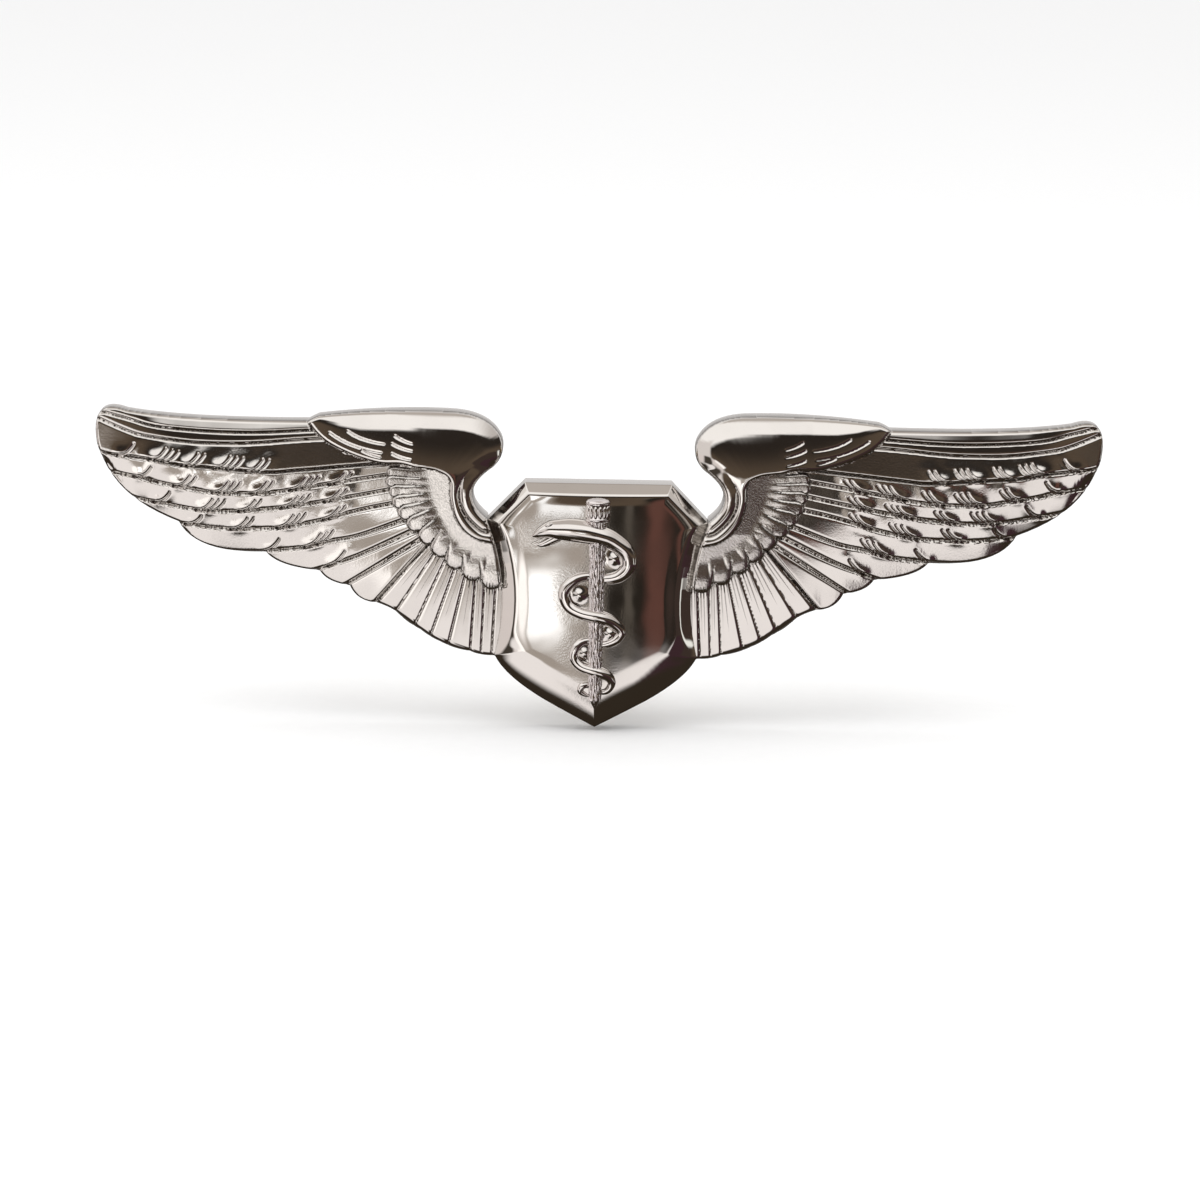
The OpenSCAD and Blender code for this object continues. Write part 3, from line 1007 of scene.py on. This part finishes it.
    def _fan(self, p: np.ndarray) -> np.ndarray:
        """Secondary feathers that fan out from under the coverts to the trailing edge."""
        share, root, tail = self._fan_spread()
        low, high = np.zeros(len(p)), np.ones(len(p))
        for _ in range(16):
            mid = (low + high) / 2
            a = np.stack([np.interp(mid, share, root[:, i]) for i in (0, 1)], 1)
            b = np.stack([np.interp(mid, share, tail[:, i]) for i in (0, 1)], 1)
            turn = (b[:, 0] - a[:, 0]) * (p[:, 1] - a[:, 1]) - (b[:, 1] - a[:, 1]) * (p[:, 0] - a[:, 0])
            high = np.where(turn > 0, mid, high)
            low = np.where(turn > 0, low, mid)
        u = (low + high) / 2
        a = np.stack([np.interp(u, share, root[:, i]) for i in (0, 1)], 1)
        b = np.stack([np.interp(u, share, tail[:, i]) for i in (0, 1)], 1)
        run = ((p - a) * (b - a)).sum(1) / ((b - a) ** 2).sum(1)
        marks = np.array(self.fan_marks)
        k = np.clip(np.searchsorted(marks, u, side="right") - 1, 0, len(marks) - 2)
        w = (u - marks[k]) / (marks[k + 1] - marks[k])
        end = np.clip((run - 0.9) / 0.1, 0, 0.999)
        return self.fan_swell * crown(w, 5.0) - 0.4 * (1 - np.sqrt(1 - end**2))

    def _covert_loop(self, share: float) -> np.ndarray:
        """Outline of the ground between the arm and the tips of the coverts.

        Args:
            share: How much of the coverts' length to take in.

        Returns:
            The outline's points.
        """
        inner = through(self.arm_inner[5:], 6)
        tips = through([c[0] for c in self.coverts], 6)
        return np.vstack([inner, (tips + (np.array((11.0, 4.5)) - tips) * (1 - share))[::-1]])

    def _covert(
        self, p: np.ndarray, out: np.ndarray, ground: np.ndarray, tip: np.ndarray, root: np.ndarray,
        half: float,
    ) -> np.ndarray:
        """Lay one covert feather over what is there.

        Args:
            p: Points.
            out: Depth so far.
            ground: Depth that the feather lies on.
            tip: Its round end.
            root: Where it grows from.
            half: Half its width.

        Returns:
            The new depth.
        """
        length = float(np.linalg.norm(root - tip))
        along = (root - tip) / length
        a = (p - tip) @ along
        b = (p - tip) @ np.array((-along[1], along[0]))
        reach = half * 1.15
        nose = np.clip(1 - np.clip(a, 0, reach) / reach, 0, 1)
        edge = half * np.sqrt(np.clip(1 - nose**2, 0, 1))
        here = (a > 0) & (a < length) & (np.abs(b) < edge)
        w = np.clip(np.abs(b) / np.maximum(edge, 1e-6), 0, 1)
        blunt = np.clip(a / (0.6 * reach), 0, 1)
        body = np.sqrt(np.clip(1 - w**4, 0, 1)) * np.sqrt(np.clip(1 - (1 - blunt) ** 2, 0, 1))
        fade = 1 - ease((a / length - 0.3) / 0.55)
        lifted = ground + 0.04 + self.covert_swell * body
        return np.where(here, lifted * fade + out * (1 - fade), out)

    def _arm(self, p: np.ndarray, out: np.ndarray) -> np.ndarray:
        """Lay the smooth arm over what is there: a full roll that narrows to a collar down the neck."""
        here = inside(p, self._arm_loop)
        from_edge, _ = to_path(p, self._shoulder)
        from_inner, _ = to_path(p, self._inner)
        here = here | (from_edge < 0.01)
        x, z = p[:, 0], p[:, 1]
        wide = np.maximum(from_edge + from_inner, 0.05)
        level = self.arm_depth - (self.arm_depth - self.lead_depth - 0.12) * ease((x - 13) / 9)
        t = np.clip(from_edge / np.minimum(self.arm_roll_width, 0.45 * wide), 0, 1)
        roll = level + 0.05 - np.minimum(0.42, 0.12 * wide) * (1 - t) ** 2.2
        roll = roll - 0.1 * from_inner - 0.022 * from_inner**2
        roll = roll - 0.22 * (1 - np.clip(from_inner / 0.3, 0, 1)) ** 2
        past, rest = from_edge - self.collar_width, wide - self.collar_width
        collar = level - 0.5 * (1 - crown(np.clip(from_edge / self.collar_width, 0, 1), 2.2))
        ridge = level - 0.35 + 0.3 * crown(np.clip(past / np.maximum(rest, 0.2), 0, 1), 2.0)
        neck = np.where(past < 0, collar, ridge)
        high = ease((z - 5.6 + 0.15 * (x - 9)) / 2.4)
        arm = roll * high + neck * (1 - high)
        for start, bow, end in self.arm_strokes:
            self._carve(p, arm, bow_chain((start, bow, end), 8), 0.065, self.stroke_cut)
        return np.where(here, arm, out)

    def seams(self) -> list[np.ndarray]:
        """Lines along which the mesh gets points: between the rows, along the notches and round the arm."""
        xs = np.linspace(13, 38, 600)
        lines = []
        for index in range(len(self.rows)):
            z = self.row_line(index, xs)
            ok = (z > self.foot_edge(xs) + 0.05) & (z < self.top_edge(xs) - 0.05)
            lines += [np.column_stack([xs, z + side])[ok] for side in (0.0, 0.08, -0.08)]
        lines.append(self._inner)
        lines += [path for path, _ in self._notch_lines()]
        return [line for line in lines if len(line) > 2]

    def grain(self, p: np.ndarray) -> np.ndarray:
        """Say where the struck ground was left frosted: on the rows and the shoulder, not on the arm."""
        x, z = p[:, 0], p[:, 1]
        rows = 0.1 + 0.3 * ease((x - 17) / 4) * (1 - ease((x - 27) / 7))
        edge = ease((self.row_line(1, x) - z) / 0.5)
        fan = z < self.row_line(9, x)
        share = rows * edge * np.where(fan & (x < 17), 0.3, 1.0)
        share = np.where(inside(p, self._covert_loop(1.0)), 1.0, share)
        return np.where(inside(p, self._arm_loop), 0, share)

    def barb_lines(self) -> list[np.ndarray]:
        """Lines of the raised barbs that stand beside the notches, thin at both ends."""
        lines = []
        for path, cut in self._notch_lines(offset=0.16):
            t = np.linspace(0, 1, len(path))
            taper = np.sqrt(np.clip(np.sin(math.pi * np.clip(t, 0.03, 0.97)), 0, 1))
            thick = self.barb_r * (cut / self.flick_cut) * taper
            lines.append(np.column_stack([path[:, 0], -self.depth(path) + 0.01, path[:, 1], thick]))
        return lines

    def rib_lines(self) -> list[np.ndarray]:
        """Lines of the fine ribs that run down each feather of the fan."""
        share, root, tail = self._fan_spread()
        lines = []
        for low, high in zip(self.fan_marks[:-1], self.fan_marks[1:]):
            for part, reach in self.ribs:
                u = low + (high - low) * part
                a, b = (np.array([np.interp(u, share, end[:, i]) for i in (0, 1)]) for end in (root, tail))
                t = np.linspace(0.02, reach, 14)
                path = a + (b - a) * t[:, None]
                thick = self.rib_r * np.clip(1.15 - t / reach, 0.12, 1)
                lines.append(np.column_stack([path[:, 0], -self.depth(path) + 0.02, path[:, 1], thick]))
        return lines

    def build(self, sweep: Tree) -> None:
        """Build and settle the wing and its barbs."""
        turn = -1 if self.side is Side.LEFT else 1
        relief = Relief(
            f"{self.side.value}_wing_relief", self.outline, self.depth, self.seams(), pitch=0.075,
            grain=self.grain, body=self.base_depth,
        )
        wing = relief.build(NICKEL.material(), mirrored=turn < 0)
        settle(wing, "badge", "struck_badge", f"{self.side.value}_wing")
        lines = [line * (turn, 1, 1, 1) for line in self.barb_lines() + self.rib_lines()]
        barbs = swept(sweep, f"{self.side.value}_wing_barbs", lines, NICKEL.material(), 6)
        settle(barbs, "badge", "struck_badge")


@dataclass
class Shield:
    """The shield: upright walls, a bevel all round and a gently domed field."""

    wall: float = 2.3
    rise: float = 0.82
    bevel_top: float = 0.72
    bevel_side: float = 0.95
    bevel_foot: float = 1.45
    dome: float = 0.3
    halo: float = 0.5
    # Small swells of the field inside the serpent's loops: x, z.
    swells: tuple = ((1.32, 1.1), (-1.3, -1.7), (1.08, -4.7), (-0.83, -6.2))
    swell_rise: float = 0.22
    swell_r: float = 0.42
    emblem_line: np.ndarray | None = None

    def depth(self, p: np.ndarray) -> np.ndarray:
        """Depth of the shield's front at points (x, z)."""
        x, z = p[:, 0], p[:, 1]
        gap, _ = to_path(p, shield_loop(), closed=True)
        wide = self.bevel_side + (self.bevel_top - self.bevel_side) * ease((z - 2.5) / 2)
        wide = wide + (self.bevel_foot - self.bevel_side) * ease((-4.5 - z) / 2.5)
        soft = 0.25 + 0.55 * ease((-4.0 - z) / 3.0)
        t = gap / wide
        bend = np.clip(soft - np.abs(t - 1), 0, None) / soft
        level = np.minimum(t, 1) - bend**2 * soft / 4
        swell = self.dome * (1 - (x / 6.6) ** 2 - ((z + 2) / 9.5) ** 2)
        out = self.wall + self.rise * level + swell * ease(t / 2.2)
        for at_x, at_z in self.swells:
            away = ((x - at_x) / self.swell_r) ** 2 + ((z - at_z) / self.swell_r) ** 2
            out = out + self.swell_rise * np.exp(-away)
        return out

    def grain(self, p: np.ndarray) -> np.ndarray:
        """Say where the field was left frosted: close to the emblem."""
        gap, _ = to_path(p, self.emblem_line)
        return (0.4 - 0.28 * ease((p[:, 0] + 0.8) / 1.6)) * (1 - ease((gap - self.halo) / 1.3))

    def build(self, emblem_line: np.ndarray) -> None:
        """Build and settle the shield."""
        self.emblem_line = emblem_line
        relief = Relief("shield_relief", shield_loop(), self.depth, [], pitch=0.08, grain=self.grain)
        settle(relief.build(NICKEL.material()), "badge", "struck_badge", "shield")


@dataclass
class Emblem:
    """The rod and the serpent that winds round it, standing on the shield's field."""

    ground: Callable[[np.ndarray], np.ndarray]
    rod_r: float = 0.58
    rod_foot_r: float = 0.42
    rod_top: float = 4.1
    rod_foot: float = -9.8
    rod_point: float = -10.5
    # The serpent from head to tail: x, z, half width, height of its middle over the field.
    serpent: tuple = (
        (-4.9, 2.72, 0.1, 0.1), (-4.65, 2.84, 0.26, 0.14), (-4.2, 3.06, 0.46, 0.16),
        (-3.6, 3.24, 0.66, 0.1), (-2.85, 3.26, 0.8, 0.04), (-1.95, 3.24, 0.9, 0.0),
        (-0.9, 3.12, 0.9, 0.05), (0.3, 2.85, 0.78, 0.15), (1.2, 2.45, 0.72, 0.05),
        (2.2, 1.65, 0.64, 0.0), (2.38, 0.6, 0.58, 0.0), (1.7, -0.2, 0.5, 0.0),
        (0.75, -0.45, 0.42, -0.12), (-0.1, -0.4, 0.38, -0.2), (-0.85, -0.3, 0.38, -0.12),
        (-1.7, -0.6, 0.44, 0.0), (-2.42, -1.45, 0.48, 0.0), (-2.15, -2.5, 0.48, 0.0),
        (-1.2, -3.05, 0.5, 0.15), (0.2, -3.35, 0.5, 0.36), (1.2, -3.75, 0.46, 0.15),
        (1.9, -4.5, 0.38, 0.0), (1.5, -5.15, 0.34, 0.0), (0.7, -5.5, 0.3, -0.1),
        (0.0, -5.45, 0.3, -0.16), (-0.7, -5.25, 0.3, -0.1), (-1.4, -5.65, 0.36, 0.0),
        (-1.65, -6.5, 0.38, 0.0), (-1.1, -7.2, 0.38, 0.15), (0.2, -7.6, 0.4, 0.32),
        (0.95, -7.95, 0.38, 0.12), (1.25, -8.5, 0.32, 0.0), (0.9, -9.1, 0.27, -0.05),
        (0.2, -9.15, 0.24, -0.15), (-0.45, -8.7, 0.24, -0.1), (-0.95, -8.75, 0.27, 0.0),
        (-1.1, -9.15, 0.24, 0.0), (-0.7, -9.45, 0.16, 0.0), (-0.35, -9.5, 0.06, 0.0),
    )
    # The lower jaw, the brow over the eye, the nostril and the tongue, in the same form.
    jaws: tuple = (
        (
            (-2.4, 3.0, 0.24, -0.1), (-2.95, 2.74, 0.4, 0.0), (-3.5, 2.44, 0.36, 0.02),
            (-4.0, 2.18, 0.27, 0.05), (-4.4, 2.08, 0.17, 0.05), (-4.62, 2.2, 0.05, 0.02),
        ),
        (
            (-3.35, 3.66, 0.07, 0.4), (-3.52, 3.7, 0.18, 0.5),
            (-3.78, 3.62, 0.19, 0.5), (-4.0, 3.46, 0.07, 0.42),
        ),
        ((-4.3, 3.28, 0.05, 0.3), (-4.44, 3.2, 0.1, 0.34), (-4.58, 3.1, 0.05, 0.3)),
        (
            (-4.1, 2.62, 0.06, 0.1), (-4.5, 2.5, 0.07, 0.14),
            (-4.86, 2.3, 0.05, 0.1), (-5.05, 2.1, 0.02, 0.05),
        ),
    )
    # The knob's turned profile: z, radius.
    knob_turns: tuple = (
        (3.92, 0.5), (3.95, 0.78), (4.05, 0.92), (4.2, 0.9), (4.3, 0.8), (5.1, 0.8),
        (5.2, 0.88), (5.34, 0.95), (5.5, 0.92), (5.62, 0.75), (5.7, 0.48), (5.73, 0.18),
    )
    flutes: int = 14
    flute_ring_r: float = 0.78
    flute_r: float = 0.17
    flute_stretch: float = 3.2
    flute_z: float = 4.72
    # Places of the coarse ribs round the rod's front, in degrees from straight ahead.
    rod_ribs: tuple = (-72, -44, -16, 12, 40, 68)
    rod_rib_r: float = 0.11

    def line(self) -> np.ndarray:
        """Give the serpent's middle line and the rod's, for the frosting round them."""
        route = through(self.serpent, 3)[:, :2]
        rod = np.column_stack([np.zeros(20), np.linspace(self.rod_foot, self.rod_top, 20)])
        return np.vstack([route, rod])

    def _lay(self, knots: Sequence[Sequence[float]], steps: int) -> np.ndarray:
        """Lay a line of knots (x, z, half width, height) on the field."""
        route = through(knots, steps)
        y = -(self.ground(route[:, :2]) + route[:, 3])
        return np.column_stack([route[:, 0], y, route[:, 1], np.maximum(route[:, 2], 0.01)])

    def _rod_rib(self, y: float, turn: float) -> np.ndarray:
        """Run one uneven rib up the rod.

        Args:
            y: The rod's middle.
            turn: The rib's place round it.

        Returns:
            The rib's line.
        """
        z = np.linspace(self.rod_foot, self.rod_top - 0.1, 90)
        up = (z - self.rod_foot) / (self.rod_top - self.rod_foot)
        out = self.rod_foot_r + (self.rod_r - self.rod_foot_r) * up - 0.02
        sway = turn + 0.12 * np.sin(z * 1.9 + 5 * turn) + 0.05 * np.sin(z * 6.1 + 9 * turn)
        thick = self.rod_rib_r * (1 + 0.25 * np.sin(z * 7.3 + 11 * turn) + 0.2 * np.sin(z * 17.0 + 3 * turn))
        return np.column_stack([out * np.sin(sway), y - out * np.cos(sway), z, thick])

    def build(self, sweep: Tree, ring: Tree) -> None:
        """Build and settle the serpent, the rod and its knob."""
        snake = self._lay(self.serpent, 8)
        snake[:, 1] = -np.convolve(np.pad(-snake[:, 1], 3, mode="edge"), np.ones(7) / 7, mode="valid")
        lines = [snake] + [self._lay(knots, 5) for knots in self.jaws]
        serpent = swept(sweep, "serpent_body", lines, EMBLEM_NICKEL.material(), 20)
        settle(serpent, "badge", "emblem", "serpent")
        y = -float(self.ground(np.array([(0.0, 0.0)]))[0])
        reach = (
            (self.rod_point, 0.04), (self.rod_foot - 0.2, 0.32),
            (self.rod_foot, self.rod_foot_r), (self.rod_top, self.rod_r),
        )
        rod = resample(np.array([(0, y, z, r) for z, r in reach]), 0.5)
        knob = np.array([(0, y, z, r) for z, r in self.knob_turns])
        lines = [rod, knob] + [self._rod_rib(y, math.radians(turn)) for turn in self.rod_ribs]
        staff = swept(sweep, "rod_and_knob", lines, ROD_NICKEL.material(), 16)
        settle(staff, "badge", "emblem", "staff")
        seed = bpy.data.objects.new("knob_flutes", bpy.data.meshes.new("knob_flutes"))
        bpy.context.collection.objects.link(seed)
        flutes = ring.run(
            seed, Ribs=self.flutes, Ring_Radius=self.flute_ring_r * MM, Rib_Radius=self.flute_r * MM,
            Rib_Stretch=self.flute_stretch, Place=(0.0, y * MM, self.flute_z * MM),
            Finish=EMBLEM_NICKEL.material(),
        )
        settle(flutes, "badge", "emblem")


# ---------------------------------------------------------------- the fastenings


def cad_copy(node: str, finish: MetalFinish, body: str, slot: str, bevel: float = 0.05) -> bpy.types.Object:
    """Replace a CAD node with a merged copy whose edges are softened.

    Args:
        node: The CAD node.
        finish: The copy's finish.
        body: The body that it rides on.
        slot: Passed on to settle, which does not use it.
        bevel: Width of the softened edges, in millimetres.

    Returns:
        The piece.
    """
    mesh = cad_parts[node].data.copy()
    mesh.materials.clear()
    mesh.materials.append(finish.material())
    piece = bpy.data.objects.new(f"{node}_piece", mesh)
    bpy.context.collection.objects.link(piece)
    work = bmesh.new()
    work.from_mesh(mesh)
    bmesh.ops.remove_doubles(work, verts=work.verts[:], dist=0.001 * MM)
    bmesh.ops.dissolve_limit(work, angle_limit=math.radians(1), verts=work.verts[:], edges=work.edges[:])
    sharp = [e for e in work.edges if len(e.link_faces) == 2 and e.calc_face_angle(0) > math.radians(35)]
    if bevel:
        bmesh.ops.bevel(work, geom=sharp, offset=bevel * MM, segments=2, profile=0.5, affect="EDGES",
                        clamp_overlap=True)
    bmesh.ops.triangulate(work, faces=[f for f in work.faces if len(f.verts) > 4])
    work.to_mesh(mesh)
    work.free()
    mesh.polygons.foreach_set("use_smooth", [True] * len(mesh.polygons))
    mesh.set_sharp_from_angle(angle=math.radians(40))
    settle(piece, body, slot, node)
    return piece


@dataclass
class Fastenings:
    """The three soldered posts and the sprung clutches that close on them."""

    places: tuple[str, ...] = ("left", "centre", "right")

    def build(self) -> None:
        """Dress every post, pad and clutch part."""
        for place in self.places:
            cad_copy(f"{place}_post", POST_STEEL, "badge", "post", 0.02)
            cad_copy(f"{place}_post_pad", SOLDER, "badge", "solder", 0.1)
            clutch = f"{place}_clutch"
            for part in ("base", "dome"):
                cad_copy(f"{clutch}_{part}", CLUTCH_BRASS, clutch, "clutch_shell", 0.06)
            cad_copy(f"{clutch}_strap", SPRING_BRASS, clutch, "clutch_spring", 0.05)
            leaves = ("left", "right") if place == "centre" else ("inner", "outer")
            for leaf in leaves:
                name = f"{clutch}_{leaf}_leaf"
                cad_copy(name, SPRING_BRASS, name, "clutch_spring", 0.05)


# ---------------------------------------------------------------- studio


@dataclass
class Studio:
    """Light, floor and camera."""

    elevation: float = 10.0
    roll: float = 1.0
    lens: float = 150.0
    frame_width: float = 0.09135
    aim: tuple[float, float, float] = (0.00027, -0.0015, -0.0024)
    # Soft lights: name, place, size and power.
    lamps: tuple = (("overhead", (0, -0.15, 0.6), 0.6, 1.2), ("left_card", (-0.5, -0.4, 0.3), 0.4, 0.5))

    def camera(self) -> None:
        """Place the camera on the object's front, a little above it."""
        data = bpy.data.cameras.new("camera")
        data.lens = self.lens
        data.clip_start = 0.01
        away = self.frame_width * self.lens / data.sensor_width
        tilt = math.radians(self.elevation)
        place = Vector(self.aim) + Vector((0, -math.cos(tilt), math.sin(tilt))) * away
        camera = bpy.data.objects.new("camera", data)
        turn = Matrix.Rotation(math.radians(90 - self.elevation), 4, "X")
        roll = Matrix.Rotation(math.radians(self.roll), 4, "Z")
        camera.matrix_world = Matrix.Translation(place) @ turn @ roll
        bpy.context.collection.objects.link(camera)
        bpy.context.scene.camera = camera

    def world(self) -> None:
        """Build the surroundings that the polished metal mirrors, behind a plain white ground."""
        world = bpy.data.worlds.new("studio")
        world.use_nodes = True
        kit = NodeKit(world.node_tree)
        way = kit.node("ShaderNodeTexCoord", out="Generated")
        split = kit.tree.nodes.new("ShaderNodeSeparateXYZ")
        kit.tree.links.new(way.socket, split.inputs[0])
        dx, dy, dz = (Value(kit, s) for s in split.outputs)
        left, right, down = 0 - dx, dx, 0 - dz
        beige = kit.blend(kit.band(left, 0.16, 0.24), (0.42, 0.37, 0.325, 1), (0.8, 0.73, 0.7, 1))
        window = kit.stripe(left, (0.05, 0.1), (0.14, 0.19)) * kit.stripe(down, (0.12, 0.16), (0.2, 0.25))
        beige = kit.blend(window, beige, (1.8, 1.8, 1.8, 1))
        pane = kit.stripe(left, (0.02, 0.05), (0.12, 0.15)) * kit.stripe(down, (0.05, 0.062), (0.082, 0.1))
        beige = kit.blend(pane, beige, (1.2, 1.2, 1.2, 1))
        frost = kit.stripe(left, (0.17, 0.21), (0.42, 0.5))
        beige = kit.blend(frost, beige, (1.35, 1.3, 1.26, 1))
        far_left = kit.stripe(left, (0.52, 0.62), (0.78, 0.86))
        beige = kit.blend(far_left, beige, (0.06, 0.05, 0.04, 1))
        shade = kit.blend(kit.band(right, 0.17, 0.24), (0.022, 0.018, 0.014, 1), (0.05, 0.034, 0.028, 1))
        streak = kit.stripe(right, (0.095, 0.125), (0.14, 0.175))
        shade = kit.blend(streak, shade, (0.13, 0.058, 0.045, 1))
        glint = kit.stripe(right, (0.055, 0.065), (0.075, 0.085))
        shade = kit.blend(glint, shade, (0.1, 0.085, 0.07, 1))
        card = kit.stripe(right, (0.9, 0.93), (0.95, 0.97))
        shade = kit.blend(card, shade, (1.0, 1.0, 0.95, 1))
        middle = kit.blend(kit.band(right, -0.02, 0.035), beige, shade)
        low = kit.blend(kit.band(right, 0.24, 0.32), (1.0, 0.95, 0.93, 1), (0.05, 0.025, 0.03, 1))
        under = kit.band(down, 0.54, 0.68) * (1 - kit.band(left, 0.17, 0.27))
        low = kit.blend(under, low, (0.035, 0.026, 0.018, 1))
        middle = kit.blend(kit.band(down + kit.band(right, 0.0, 0.04) * 0.07, 0.3, 0.37), middle, low)
        steep = kit.band(dy, -0.62, -0.45)
        middle = kit.blend(kit.band(down, 0.3, 0.42) * steep, middle, (0.035, 0.026, 0.018, 1))
        middle = kit.blend(kit.band(down, 0.82, 0.92), middle, (0.03, 0.022, 0.015, 1))
        front = kit.blend(kit.band(dz, 0.02, 0.24), (0.1, 0.072, 0.05, 1), (0.026, 0.02, 0.016, 1))
        front = kit.blend(kit.band(dz, 0.25, 0.4) * kit.band(left, -0.05, 0.2), front, (1.1, 1.07, 1.04, 1))
        front = kit.blend(kit.band(left, 0.5, 0.62), front, (0.8, 0.75, 0.72, 1))
        middle = kit.blend(kit.band(dz, -0.07, 0.0), middle, front)
        top = kit.blend(kit.band(right, 0.3, 0.8), (1.1, 1.07, 1.04, 1), (0.62, 0.58, 0.55, 1))
        top = kit.blend(kit.band(dz, 0.86, 0.95), top, (0.55, 0.5, 0.46, 1))
        mirrored = kit.blend(kit.band(dz, 0.4, 0.5), middle, top)
        back = kit.blend(kit.band(dz, -0.4, 0.1), (0.1, 0.09, 0.08, 1), (0.75, 0.73, 0.72, 1))
        mirrored = kit.blend(kit.band(dy, 0.2, 0.5), mirrored, back)
        glossy = kit.node("ShaderNodeLightPath", out="Is Glossy Ray")
        colour = kit.blend(glossy, (1, 1, 1, 1), mirrored)
        shader = kit.node("ShaderNodeBackground", {}, {"Color": colour, "Strength": 1.0})
        kit.node("ShaderNodeOutputWorld", {}, {"Surface": shader})
        bpy.context.scene.world = world
        bpy.context.scene.view_settings.view_transform = "Standard"

    def floor(self) -> None:
        """Lay a pale floor under the badge."""
        low = CAD_BOX[0][2] / MM - 0.3
        size = 1500.0
        corners = np.array([(-size, -size, low), (size, -size, low), (size, size, low), (-size, size, low)])
        material = bpy.data.materials.new("pale_floor")
        material.use_nodes = True
        kit = NodeKit(material.node_tree)
        place = kit.node("ShaderNodeTexCoord", out="Object")
        fine = kit.noise(place, 900.0, 3.0)
        colour = kit.blend(fine, (0.93, 0.93, 0.93, 1), (0.9, 0.9, 0.9, 1))
        shader = kit.node("ShaderNodeBsdfPrincipled", {}, {"Base Color": colour, "Roughness": 0.9})
        kit.node("ShaderNodeOutputMaterial", {}, {"Surface": shader})
        floor = new_piece("floor", corners, [(0, 1, 2, 3)], material)
        floor.visible_glossy = False

    def lights(self) -> None:
        """Hang soft lights over and beside the badge."""
        for name, place, size, power in self.lamps:
            data = bpy.data.lights.new(name, "AREA")
            data.size = size
            data.energy = power
            lamp = bpy.data.objects.new(name, data)
            lamp.location = place
            lamp.rotation_euler = (-Vector(place)).to_track_quat("-Z", "Y").to_euler()
            lamp.visible_glossy = False
            bpy.context.collection.objects.link(lamp)


def main() -> None:
    """Build the badge and its studio."""
    logging.basicConfig(level=logging.INFO, format="%(message)s")
    studio = Studio()
    studio.camera()
    studio.world()
    studio.floor()
    studio.lights()
    sweep, ring = sweep_tree(), rib_ring_tree()
    for side in Side:
        Wing(side).build(sweep)
    shield = Shield()
    emblem = Emblem(shield.depth)
    shield.build(emblem.line())
    emblem.build(sweep, ring)
    Fastenings().build()


if __name__ == "__main__":
    main()
